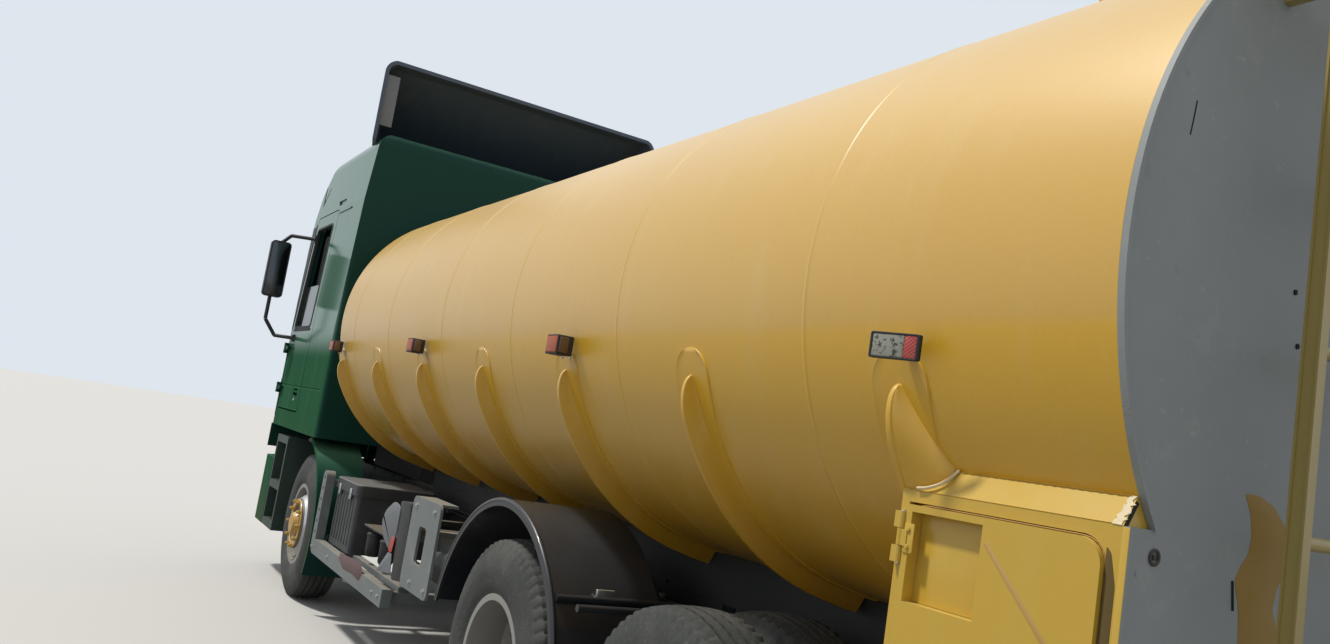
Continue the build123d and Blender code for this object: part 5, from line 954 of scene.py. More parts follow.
def rearMarker():
    # a flat lamp that stands askew: its front end is further out than its rear end
    x0, x1, z0, z1 = lamp["flat"]
    yRear, yFront = lamp["flatOut"]

    def askew(x, z, out):
        return x, yRear + (yFront - yRear) * (x - x0) / (x1 - x0) + out, z
    back = plate(oblong(x0, x1, z0, z1, 0.005), -0.009, 0.0, 0.003)
    arm = slab((x1 - 0.036, z0 + 0.014, -0.080), (x1 - 0.010, z1 - 0.014, -0.006), 0.002)
    frameBand = band(oblong(x0, x1, z0, z1, 0.005), 0.005, -0.004, 0.004, 0.0015)
    split = x0 + 0.032
    clear = plate(oblong(split, x1 - 0.005, z0 + 0.005, z1 - 0.005, 0.003), -0.002, 0.003, 0.0015)
    red = plate(oblong(x0 + 0.005, split - 0.001, z0 + 0.005, z1 - 0.005, 0.003), -0.002, 0.003, 0.0015)
    return [(mapped(arm, askew), "tank_paint"), (mapped(back, askew), "black_plastic"),
            (mapped(frameBand, askew), "black_plastic"),
            (mapped(clear, askew), "dirtyLens"), (mapped(red, askew), "redLens")]


def makeLamps():
    shapes = []
    for i in lamp["ribs"]:
        x0, x1 = (lamp["firstRib"] + i * rib["pitch"] + lamp[k] for k in ("rear", "front"))
        z0, z1, y0, y1 = lamp["low"], lamp["high"], lamp["inner"], lamp["outer"]
        housing = slab((x0, y0 - 0.012, z0), (x1, y1 - 0.004, z1), 0.004)
        rim = onSide(band(oblong(x0, x1, z0, z1, 0.006), 0.006, -0.006, 0.0), y1)
        red = slab((x0 - 0.004, y0 + 0.010, z0 + 0.007), (x0 + 0.004, y1 - 0.007, z1 - 0.007), 0.003)
        sideLens = slab((x0 + 0.003, y1 - 0.010, z0 + 0.006), (x1 - 0.006, y1 + 0.003, z1 - 0.006), 0.003)
        # the red rear lens gets the darkened brown: painted shade
        shapes += [(housing, "black_plastic"), (rim, "black_plastic"), (red, "brownLens"),
                   (sideLens, "salmonLens")]
        feet = [(x0 + 0.02, y0 - 0.012, z0 - 0.002), (x1 - 0.02, y0 - 0.012, z0 - 0.002)]
        shapes.append((bolts(0.006, 0.005, "-z", feet), "brightSteel"))
    shapes += rearMarker()
    (x0, x1), (y0, y1), (z0, z1) = lamp["tailX"], lamp["tailY"], lamp["tailZ"]
    shapes.append((slab((x0 + 0.012, y0, z0), (x1, y1, z1), 0.008), "black_plastic"))
    shapes.append((onRear(band(oblong(y0, y1, z0, z1, 0.02), 0.007, -0.012, 0.004), x0 + 0.004),
                   "black_plastic"))
    cuts = (y0 + 0.007, y0 + 0.095, y0 + 0.185, y1 - 0.007)
    for a, b, look in zip(cuts[:-1], cuts[1:], ("clearLens", "amberLens", "redLens")):
        shapes.append((onRear(plate(oblong(a, b - 0.002, z0 + 0.008, z1 - 0.008, 0.008), 0.0, 0.012, 0.004),
                              x0 + 0.013), look))
    rings = [0.0, 0.4, 0.7, 0.9, 1.0]
    swell = stacked(oblong(0.523, 0.877, 0.533, 0.687, 0.035),
                    [(0.030 * (1 - r), 0.0095 * math.sqrt(1 - r ** 2)) for r in rings])
    headLens = onFront(gridShape(swell, wrapV=True, capU=True), lamp["nose"])
    bezel = onFront(band(oblong(0.512, 0.888, 0.522, 0.698, 0.04), 0.012, -0.004, 0.0), lamp["bezel"])
    fog = turnedTo(turned([(0.0, 0.0), (0.058, 0.0), (0.058, 0.006), (0.052, 0.008), (0.048, 0.005),
                           (0.030, 0.008),
                           (0.0, 0.009)], 40), "x")
    shapes += [(headLens, "clearLens"), (bezel, "black_plastic"),
               (moved(fog, (lamp["nose"], 0.700, 0.455)), "clearLens")]
    made = piece("lampSet", [(bothSides(s), look) for s, look in shapes], "chassis", "lamp_plastic",
                 "lamp_plastic")
    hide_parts("lamps")


makeLamps()
print("stage: lamps")


# Cab: seals, black strips at the front corners, wipers, aerial, and the small fittings of its doors
cab = {"halfWidth": 1.240, "front": 4.360, "corner": 0.150, "belt": 2.040, "header": 3.060, "sideLean": 0.030,
       "frontLean": 0.070, "doorFront": 4.195, "doorSlant": 0.070}


def leaned(z):
    return np.clip((np.asarray(z, float) - cab["belt"]) / (cab["header"] - cab["belt"]), 0, 1)


def onCabSide(shape):
    return mapped(shape, lambda x, z, out: (x, cab["halfWidth"] - cab["sideLean"] * leaned(z) + out, z))


def onCabFront(shape):
    return mapped(shape, lambda y, z, out: (cab["front"] - cab["frontLean"] * leaned(z) + out, y, z))


def cornerStrip(rearBelow, rearAbove, inner, low, high, lift):
    # a skin round the front corner: along the side, round the arc, along the front,
    # held to the leaning walls
    z = np.linspace(low, high, 30)[:, None]
    rear = rearBelow + (rearAbove - rearBelow) * leaned(z)
    r, turn = cab["corner"], np.linspace(np.pi / 2, 0, 16)
    cx, cy = cab["front"] - r, cab["halfWidth"] - r
    t, u = np.linspace(0, 1, 6)[:-1], np.linspace(0, 1, 5)[1:]
    flat = np.zeros_like(z)
    x = np.hstack([rear + (cx - rear) * t, cx + r * np.cos(turn) + flat, cab["front"] + 0 * u + flat])
    y = np.hstack([cab["halfWidth"] + 0 * t + flat, cy + r * np.sin(turn) + flat,
                   cy + (inner - cy) * u + flat])
    outX = np.r_[0 * t, np.cos(turn), 1 + 0 * u]
    outY = np.r_[1 + 0 * t, np.sin(turn), 0 * u]

    def lifted(by):
        return np.stack([np.minimum(x + outX * by, cab["front"] - cab["frontLean"] * leaned(z) + by),
                         np.minimum(y + outY * by, cab["halfWidth"] - cab["sideLean"] * leaned(z) + by),
                         z + 0 * x], -1)
    return gridShape(np.concatenate([lifted(lift), lifted(-0.004)[:, ::-1]], 1), wrapV=True, capU=True)


def makeCabTrim():
    shapes = []
    for side in (1, -1):
        strip = cornerStrip(cab["doorFront"] + 0.012, cab["doorFront"] + 0.012 - cab["doorSlant"], 1.140,
                            2.052, 2.985, 0.003)
        vane = cornerStrip(4.235, 4.235, 1.150, 1.290, 1.610, 0.004)
        shapes += [(shape if side == 1 else flipped(shape), "black_plastic") for shape in (strip, vane)]
    shapes.append((onCabFront(band(oblong(-1.140, 1.140, 2.070, 2.970, 0.065), 0.022, -0.010, 0.004)),
                   "seal"))
    panel = onCabFront(band(oblong(-1.02, 1.02, 1.19, 1.90, 0.05), 0.012, -0.003, 0.006))
    shapes.append((panel, "black_plastic"))
    for shift in (0.0, 0.86):
        arm = [(-0.86 + shift, 2.045, 0.006), (-0.84 + shift, 2.075, 0.016), (-0.45 + shift, 2.128, 0.018)]
        blade = [(-0.80 + shift, 2.104, 0.010), (-0.42 + shift, 2.130, 0.008), (-0.06 + shift, 2.152, 0.010)]
        pivot = moved(turned([(0, 0), (0.022, 0), (0.022, 0.010), (0.014, 0.018), (0, 0.018)], 20),
                      (-0.86 + shift, 2.045, 0))
        for part in (tube(curve(arm, 16), 0.007, 8), tube(curve(blade, 16), 0.005, 8), pivot):
            shapes.append((onCabFront(part), "black_plastic"))
    aerial = tube([(4.150, 1.192, 2.995), (4.146, 1.196, 3.03), (4.060, 1.205, 3.34)],
                  [0.007, 0.004, 0.0025], 8)
    shapes += [(aerial, "black_plastic"), (slab((4.135, 1.186, 2.985), (4.165, 1.214, 3.010), 0.005),
                                           "black_plastic")]
    stiffener = slab((2.640, 1.085, 3.665), (2.655, 1.192, 4.075), 0.004)
    shapes.append((stiffener, "greyMetal"))
    latch = joined([slab((2.506, y - 0.03, 1.33), (2.512, y + 0.03, 1.40), 0.002) for y in (-0.7, 0.7)])
    shapes.append((latch, "black_plastic"))
    piece("cabTrim", shapes, "cab", "black_plastic")


door = {"mirrorFace": 4.1585, "hingeX": 4.182, "hinges": (1.530, 1.880)}


def makeDoorTrim():
    top = [(3.460, 2.060), (4.125, 2.060), (4.055, 2.950), (3.460, 2.950)]
    seal = band(shrunk(rounded(top, 0.050), -0.007), 0.020, -0.024, 0.004)
    waist = plate(oblong(3.445, 4.120, 2.030, 2.052, 0.006), -0.002, 0.005)
    lock = moved(turned([(0, -0.004), (0.013, -0.004), (0.013, 0.003), (0.009, 0.005), (0.008, 0.003),
                         (0, 0.003)], 20),
                 (3.541, 1.452, 0))
    hingeBolts = repeated(bolt(0.007, 0.006), [(door["hingeX"], z + dz,
                                                0.012) for z in door["hinges"] for dz in (-0.02, 0.02)])
    rub = plate(oblong(3.345, 4.18, 1.362, 1.372, 0.003), -0.002, 0.004)
    shapes = [(onCabSide(seal), "seal"), (onCabSide(waist), "seal"), (onCabSide(lock), "brightSteel"),
              (onCabSide(rub), "cab_paint"), (onCabSide(hingeBolts), "cab_paint")]
    glass = onRear(plate(oblong(1.401, 1.549, 2.312, 2.784, 0.030), -0.001, 0.0015, 0.001),
                   door["mirrorFace"])
    rim = onRear(band(oblong(1.392, 1.558, 2.302, 2.794, 0.034), 0.010, -0.004, 0.003), door["mirrorFace"])
    socket = turned([(0, 0), (0.030, 0), (0.030, 0.012), (0.020, 0.018), (0, 0.018)], 20)
    shapes += [(glass, "mirrorGlass"), (rim, "black_plastic"),
               (moved(turnedTo(socket, "y"), (4.081, 1.212, 2.8655)), "black_plastic"),
               (moved(turnedTo(socket, "y"), (4.081, 1.238, 1.9705)), "black_plastic")]
    forBothSides("doorTrim", shapes, "door", "seal", "black_plastic")


# Roof deflector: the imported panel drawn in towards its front, so its sides hide behind its rear edge
deflector = {"rear": 2.640, "front": 3.755, "narrow": 0.235}


def makeDeflector():
    # y times (1 minus a share that grows from the rear edge to the front)
    packed = nodes["roof_deflector"].data
    points = np.zeros(len(packed.vertices) * 3)
    packed.vertices.foreach_get("co", points)
    points = points.reshape(-1, 3)
    along = np.clip((points[:, 0] - deflector["rear"]) / (deflector["front"] - deflector["rear"]), 0, 1)
    points[:, 1] *= 1 - deflector["narrow"] * along
    faces = [np.array([face.vertices[:]]) for face in packed.polygons]
    made = piece("deflectorPanel", (points, faces), "cab", "deflector_paint")
    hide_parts("roof_deflector")


makeDeflector()
makeCabTrim()
makeDoorTrim()
print("stage: cab")


# Seats: crowned cushions whose covers are drawn down along sewn channels, on moulded bases
seat = {"side": 0.790, "cushion": (0.250, 0.232, 0.060), "back": (0.322, 0.222, 0.060), "crown": 0.014,
        "channel": 0.010,
        "squareness": 0.30, "sag": 0.030}


def drawnIn(x, y):
    # each side bows inwards between the corners
    sag = seat["sag"]
    return x * (1 - sag * (1 - y ** 2)), y * (1 - sag * (1 - x ** 2))


def cushion(size, channels, across):
    # a superellipsoid: each axis is a signed power of a cosine or sine; the top swells, the sides draw in
    # between the corners, and the cover dips along each channel
    up = np.linspace(-np.pi / 2, np.pi / 2, 42)[:, None]
    turn = np.linspace(0, 2 * np.pi, 96, endpoint=False)[None]
    e = seat["squareness"]
    level = np.cos(up) ** 0.45
    x, y, z = level * power(np.cos(turn), e), level * power(np.sin(turn), e), power(np.sin(up),
                                                                                    0.6) + 0 * turn
    x, y = drawnIn(x, y)
    dome = (1 - x ** 2) * (1 - y ** 2)
    line = y if across else x
    dip = sum(np.exp(-((line - c) / 0.035) ** 2) for c in channels) * (np.abs(z) > 0.2)
    depth = np.abs(z)
    z = np.sign(z) * (depth * (size[2] - seat["crown"]) + seat["crown"] * dome - seat["channel"] * dip * depth)
    return gridShape(np.stack([x * size[0], y * size[1], z], -1), wrapV=True)


def piping(size):
    # the sewn edge: a thin tube round the cushion's waist
    turn = np.linspace(0, 2 * np.pi, 97)
    e = seat["squareness"]
    x, y = drawnIn(power(np.cos(turn), e), power(np.sin(turn), e))
    path = np.stack([x * size[0], y * size[1], 0 * x], -1)
    keep = np.r_[True, np.linalg.norm(np.diff(path, axis=0), axis=1) > 1e-5]
    return tube(path[keep] * np.array([0.995, 0.995, 1]), 0.004, 6)


def makeSeats():
    bases = []
    for side, sign in (("left", 1), ("right", -1)):
        y0 = sign * seat["side"]
        low = joined([cushion(seat["cushion"], (-0.45, 0.45), True), piping(seat["cushion"])])
        pad = piece("seatCushion_" + side, moved(low, (3.425, y0, 1.662)), "cab", "seat_fabric", sharp=60)
        upright = joined([cushion(seat["back"], (-0.35, 0.0, 0.35), False), piping(seat["back"])])
        lean = math.radians(8.7)

        def leanBack(a, b, c):
            # a runs up the back rest and c out of its front
            return (3.172 - a * math.sin(lean) + c * math.cos(lean), b + y0,
                    1.996 + a * math.cos(lean) + c * math.sin(lean))
        back = piece("seatBack_" + side, mapped(upright, leanBack), "cab", "seat_fabric", sharp=60)
        stand = [slab((3.20, y0 - 0.19, 1.270), (3.66, y0 + 0.19, 1.300), 0.008),
                 slab((3.26, y0 - 0.14, 1.296), (3.60, y0 + 0.14, 1.560), 0.03),
                 slab((3.17, y0 - 0.22, 1.555), (3.68, y0 + 0.22, 1.606), 0.015),
                 slab((3.13, y0 - 0.235, 1.60), (3.22, y0 - 0.222, 1.72), 0.005),
                 slab((3.13, y0 + 0.222, 1.60), (3.22, y0 + 0.235, 1.72), 0.005)]
        bases.append(joined(stand))
    made = piece("seatBases", joined(bases), "cab", "trim_plastic")
    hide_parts("seats")
    clock = slab((3.936, 0.64, 1.80), (3.942, 0.94, 1.93), 0.003)
    dials = [turnedTo(turned([(0, 0), (r, 0), (r, 0.004), (r - 0.004, 0.005), (r - 0.006, 0.002),
                              (0, 0.002)], 32), "-x")
             for r in (0.045, 0.045, 0.022, 0.022)]
    spots = [(3.936, 0.85, 1.865), (3.936, 0.73, 1.865), (3.936, 0.79, 1.895), (3.936, 0.79, 1.835)]
    shapes = [(clock, "black_plastic")] + [(moved(d, p), "clearLens") for d, p in zip(dials, spots)]
    knobs = repeated(turnedTo(turned([(0, 0), (0.014, 0), (0.012, 0.016), (0, 0.016)], 16), "-x"),
                     [(3.941, 0.30 + 0.09 * k, 1.80) for k in range(3)])
    vents = repeated(slab((3.932, -0.07, -0.003), (3.942, 0.07, 0.003), 0.002),
                     [(0, y, 1.88 + 0.014 * k) for y in (0.36, -0.36, -0.85) for k in range(4)])
    shapes += [(knobs, "black_plastic"), (vents, "black_plastic")]
    piece("dashFittings", shapes, "cab", "black_plastic")


makeSeats()
print("stage: seats")


# Hose cabinets: hinge leaves, a paddle latch, a weld along the slope, and at the slope's rear end a pale flake
# that is chipped paint and painted highlight
cabinet = {"face": 1.190, "door": 1.202, "top": 1.555, "slopeIn": 1.156, "slopeTop": 1.613,
           "hinges": (0.910, 1.445)}


def onSlope(shape):
    # a shape given as (x, up the slope from 0 to 1, out) laid on the sloped top
    run = np.array([cabinet["slopeIn"] - cabinet["face"], cabinet["slopeTop"] - cabinet["top"]])
    out = np.array([run[1], -run[0]]) / np.linalg.norm(run)
    return mapped(shape, lambda x, up, lift: (x, cabinet["face"] + run[0] * up + out[0] * lift,
                                              cabinet["top"] + run[1] * up + out[1] * lift))


def makeCabinetTrim():
    leaves, pins = [], []
    for z in cabinet["hinges"]:
        leaves.append(onSide(plate(oblong(-3.716, -3.684, z - 0.034, z + 0.034, 0.005), 0.0, 0.0035, 0.001),
                             cabinet["door"]))
        leaves.append(bolts(0.0055, 0.004, "y", [(-3.700, cabinet["door"] + 0.0035, z + d) for d in (-0.02,
                                                                                                     0.02)]))
        pins.append(moved(turned([(0.0, -0.062), (0.0065, -0.062), (0.0065, -0.058), (0.0045, -0.056),
                                  (0.0045, 0.056),
                                  (0.0065, 0.058), (0.0065, 0.062), (0.0, 0.062)], 12),
                          (-3.671, cabinet["door"], z)))
    latch = onSide(plate(oblong(-4.180, -4.090, 1.060, 1.130, 0.012), 0.0, 0.006), cabinet["door"])
    paddle = onSide(plate(oblong(-4.168, -4.102, 1.072, 1.112, 0.008), 0.004, 0.014, 0.003), cabinet["door"])
    barrel = moved(turnedTo(turned([(0, 0), (0.011, 0), (0.011, 0.004), (0, 0.005)], 20), "y"),
                   (-4.135, 1.208, 1.095))
    line = [(-3.934, 1.474), (-3.922, 1.468), (-4.098, 1.298), (-4.150, 1.228), (-4.162, 1.234),
            (-4.110, 1.305)]
    faint = onSide(plate(rounded(line, 0.004, 2), -0.0004, 0.0005, 0.0002), cabinet["door"])
    tray = onSide(plate(oblong(-3.9145, -3.7005, 1.3025, 1.5065, 0.002), -0.040, -0.032, 0.001),
                  cabinet["door"])
    forBothSides("cabinetDoorTrim", [(tray, "cabinet_paint"), (joined(leaves), "cabinet_paint"),
                                     (joined(pins), "brightSteel"),
                                     (latch, "black_plastic"), (paddle, "black_plastic"),
                                     (barrel, "brightSteel"),
                                     (faint, "faintPaint")], "cabinet_door", "cabinet_paint")
    # a pale flake along the slope's rear edge: chipped paint and painted highlight
    jag = np.linspace(0, 1, 15)
    rough = 0.004 * np.sin(23.0 * jag + 0.5) + 0.0035 * np.sin(51.0 * jag) + 0.002 * np.sin(97.0 * jag)
    inner = np.column_stack([np.linspace(-4.230, -4.222, 15) + 0.6 * rough[::-1], jag[::-1]])
    flake = np.vstack([np.column_stack([-4.2445 + rough, jag]), inner])
    seam = [onSlope(tube(np.column_stack([np.linspace(-4.235, -3.70, 90), np.full(90, 0.985),
                                          0.001 + 0.0012 * np.sin(np.linspace(0, 150, 90))]), 0.0035, 6)),
            onSlope(tube(np.column_stack([np.linspace(-4.235, -3.66, 60), np.full(60, 0.02),
                                          np.full(60, 0.0)]), 0.0025, 6))]
    shapes = [(onSlope(plate(flake, 0.0, 0.0022, 0.0006)), "paleWeld"), (joined(seam), "cabinet_paint"),
              (onSide(band(oblong(-4.2172, -3.6768, 0.7878, 1.5272, 0.063), 0.0036, -0.004, -0.0005),
                      cabinet["face"]), "faintPaint"),
              # a black strip at the slope's rear end: painted shade in a gap
              (onSlope(slab((-4.2480, 0.0, -0.009), (-4.2452, 0.85, -0.001), 0.001)), "sootBlack"),
              # a dark strip beside the door's rear edge: painted shade
              (onSide(plate(rounded([(-4.2145, 0.790), (-4.2405, 0.790), (-4.2405, 1.440), (-4.226, 1.500),
                                     (-4.2145, 1.512)],
                                    0.003, 2), -0.0005, 0.0008, 0.0003), cabinet["face"]), "shade"),
              (slab((-4.2605, 1.1885, 0.762), (-4.2448, 1.1912, 1.553), 0.001), "cabinet_paint")]
    piece("cabinetTrim", [(bothSides(s), look) for s, look in shapes], "chassis", "cabinet_paint")


# Rear plate: a worn painted shape, a drain ring, rivets, and scratches that show as shallow grooves
rearPlate = {"face": -4.2530, "shape": [(0.828, 1.658), (0.775, 1.658), (0.718, 1.639), (0.671, 1.600),
                                        (0.650, 1.555),
                                        (0.657, 1.515), (0.685, 1.474), (0.696, 1.427), (0.672, 1.390),
                                        (0.650, 1.340),
                                        (0.640, 1.280), (0.700, 1.215), (0.775, 1.225), (0.800, 1.300),
                                        (0.814, 1.420),
                                        (0.836, 1.479), (0.824, 1.506), (0.798, 1.535), (0.791, 1.573),
                                        (0.802, 1.618)]}


def makePlateTrim():
    x = rearPlate["face"]
    ring = turned([(0.017, 0), (0.017, 0.003), (0.013, 0.0045), (0.010, 0.003), (0.010, 0), (0.017, 0)], 28)
    stud = turned([(0.0, 0.0), (0.006, 0.0), (0.006, 0.003), (0.0, 0.004)], 16)
    painted = onRear(plate(rounded(rearPlate["shape"], 0.012, 4), -0.0005, 0.0008, 0.0003), x)
    scratch = [onRear(tube([(1.113, 2.414, 0), (1.118, 2.375, 0), (1.124, 2.340, 0)], 0.0016, 6), x),
               onRear(tube([(0.845, 1.478, 0.0008), (0.835, 1.419, 0.0008)], 0.003, 6), x),
               onRear(tube([(0.3, 2.05, 0), (0.42, 2.02, 0), (0.5, 2.03, 0)], 0.0012, 6), x)]
    spots = onRear(repeated(stud, [(0.715, 2.104, 0), (0.690, 1.990, 0), (-0.700, 2.10, 0),
                                   (-0.700, 1.99, 0)]), x)
    z = np.arange(0.83, 1.50, 0.16)
    row = np.concatenate([np.column_stack([np.full_like(z, y), z, 0 * z]) for y in (1.150, -1.150)])
    rivets = onRear(repeated(turned([(0, 0), (0.006, 0), (0.0045, 0.003), (0, 0.004)], 12), row), x)
    shapes = [(painted, "brownPaint"), (joined(scratch), "sootBlack"), (spots, "sootBlack"),
              (rivets, "plate_paint"),
              (onRear(moved(ring, (1.102, 1.504, 0)), x), "axle_steel"),
              (onRear(moved(stud, (1.102, 1.504, 0)), x), "axle_steel")]
    piece("plateTrim", shapes, "chassis", "plate_paint")
    clampBolts = bolts(0.008, 0.007, "-x", [(-4.2535, y + d, z) for y in (0.839, 0.439) for z in (0.960,
                                                                                                  2.740)
                                            for d in (-0.026, 0.026)])
    around = np.linspace(0, 2 * math.pi, 17)
    weld = [tube([(-4.372 + 0.0145 * math.cos(a), y, z + 0.0145 * math.sin(a)) for a in around],
                 0.0028, 6, (0, 1, 0)) for y in (0.823, 0.455) for z in 0.816 + 0.38 * np.arange(7)]
    piece("ladderTrim", [(clampBolts, "brightSteel"), (joined(weld), "ladder_paint")],
          "chassis", "ladder_paint")


# Side carrier and what hangs by it: bolts, a worn smear of paint, a tab, canisters,
# an oval guard and a black post
carrier = {"face": 1.215, "guardFace": 1.204, "canisters": (1.02, 0.72)}


def makeCarrierTrim():
    y, guardFace = carrier["face"], carrier["guardFace"]
    smear = [(1.27, 0.545), (1.12, 0.500), (0.90, 0.512), (0.72, 0.500), (0.67, 0.560), (0.74, 0.606),
             (0.93, 0.596),
             (1.10, 0.585), (1.22, 0.590)]
    tab = rounded([(1.115, 0.425), (0.72, 0.462), (0.68, 0.50), (1.10, 0.50)], 0.012)
    shapes = [(onSide(plate(rounded(smear, 0.02, 4), -0.0004, 0.0008, 0.0003), y), "pinkPaint"),
              (onSide(plate(tab, -0.004, 0.0, 0.001), y - 0.010), "carrier_paint"),
              (bolts(0.010, 0.009, "y", [(-0.208, y, 0.674), (-0.442, y, 0.672), (-0.115, y, 1.055),
                                         (-0.415, y, 1.055)]),
               "brightSteel"),
              (bolts(0.009, 0.008, "y", [(2.030, y, 0.495), (1.55, y, 0.50), (0.42, y, 0.50),
                                         (0.30, y, 0.50)]),
               "brightSteel")]
    canister = turned([(0.0, -0.075), (0.036, -0.072), (0.046, -0.055), (0.046, 0.050), (0.050, 0.054),
                       (0.050, 0.066),
                       (0.040, 0.072), (0.018, 0.074), (0.018, 0.100), (0, 0.100)], 28)
    hanger = [slab((0.61, 0.66, 0.775), (1.13, 1.13, 0.787), 0.003),
              slab((0.62, 0.64, 0.60), (0.66, 0.66, 0.787), 0.004),
              slab((1.08, 0.64, 0.60), (1.12, 0.66, 0.787), 0.004),
              slab((0.62, 0.43, 0.74), (0.66, 0.66, 0.787), 0.004),
              slab((1.08, 0.43, 0.74), (1.12, 0.66, 0.787), 0.004)]
    shapes += [(moved(canister, (x, 1.08, 0.678)), "air_tank_paint") for x in carrier["canisters"]]
    shapes.append((joined(hanger), "frame_paint"))
    oval = rounded([(0.205, 1.005), (0.330, 1.022), (0.475, 0.950), (0.520, 0.885), (0.430, 0.800),
                    (0.270, 0.752),
                    (0.205, 0.850)], 0.045)
    foot = rounded([(0.455, 0.615), (0.190, 0.640), (0.225, 0.745), (0.292, 0.745)], 0.012)
    stripe = rounded([(0.205, 0.834), (0.262, 0.836), (0.290, 0.750), (0.225, 0.750)], 0.006)
    post = plate(rounded([(-0.03, 0.640), (0.170, 0.615), (0.235, 1.035), (0.045, 1.050)], 0.018), -0.070,
                 0.0, 0.006)
    arms = [slab((0.02, 0.425, 0.86), (0.08, 1.15, 0.92), 0.006),
            slab((0.24, 0.425, 0.92), (0.28, 1.196, 0.95), 0.006)]
    shapes += [(onSide(plate(oval, -0.006, 0.0, 0.002), guardFace), "greyMetal"),
               (onSide(plate(foot, -0.006, 0.0, 0.002), guardFace), "greyMetal"),
               (onSide(plate(stripe, -0.001, 0.002, 0.0008), guardFace), "redPaint"),
               (onSide(post, y - 0.016), "black_plastic"),
               (joined(arms), "frame_paint")]
    piece("carrierTrim", shapes, "chassis", "carrier_paint")
    lidEdge = tube(curve([(1.322, 0.66, 0.999), (1.322, 1.158, 0.999), (1.898, 1.158, 0.999),
                          (1.898, 0.66, 0.999)], 24, 0.12),
                   0.0045, 8)
    catches = joined([slab((x - 0.02, 1.160, 0.895), (x + 0.02, 1.170, 0.965), 0.003) for x in (1.46, 1.76)])
    ribsOnBox = repeated(slab((-0.006, 1.148, 0.60), (0.006, 1.154, 0.91), 0.002),
                         [(x, 0, 0) for x in np.arange(1.40, 1.86, 0.07)])
    piece("batteryTrim", [(lidEdge, "greyMetal"), (catches, "brightSteel"), (ribsOnBox, "battery_plastic")],
          "chassis",
          "battery_plastic", "battery_plastic")


# Chassis: rivets, rigid pipes on clips, U bolts, brake chambers, an anti-roll bar,
# and the fittings of the fuel tank, the outlet and the guards
rails = {"side": 0.425, "rivets": (0.735, 0.965), "saddle": -2.015, "pipeOut": 0.444,
         "pipes": ((0.905, 0.009), (0.880, 0.007)),
         "uBolts": ((-2.015, 0.470, 0.715, 0.340, 0.418), (2.830, 0.470, 0.650, 0.340, 0.436))}
guard = {"boltCircle": 0.700, "lipCircle": 0.691, "lipOut": 1.222, "lipThick": 0.0125}


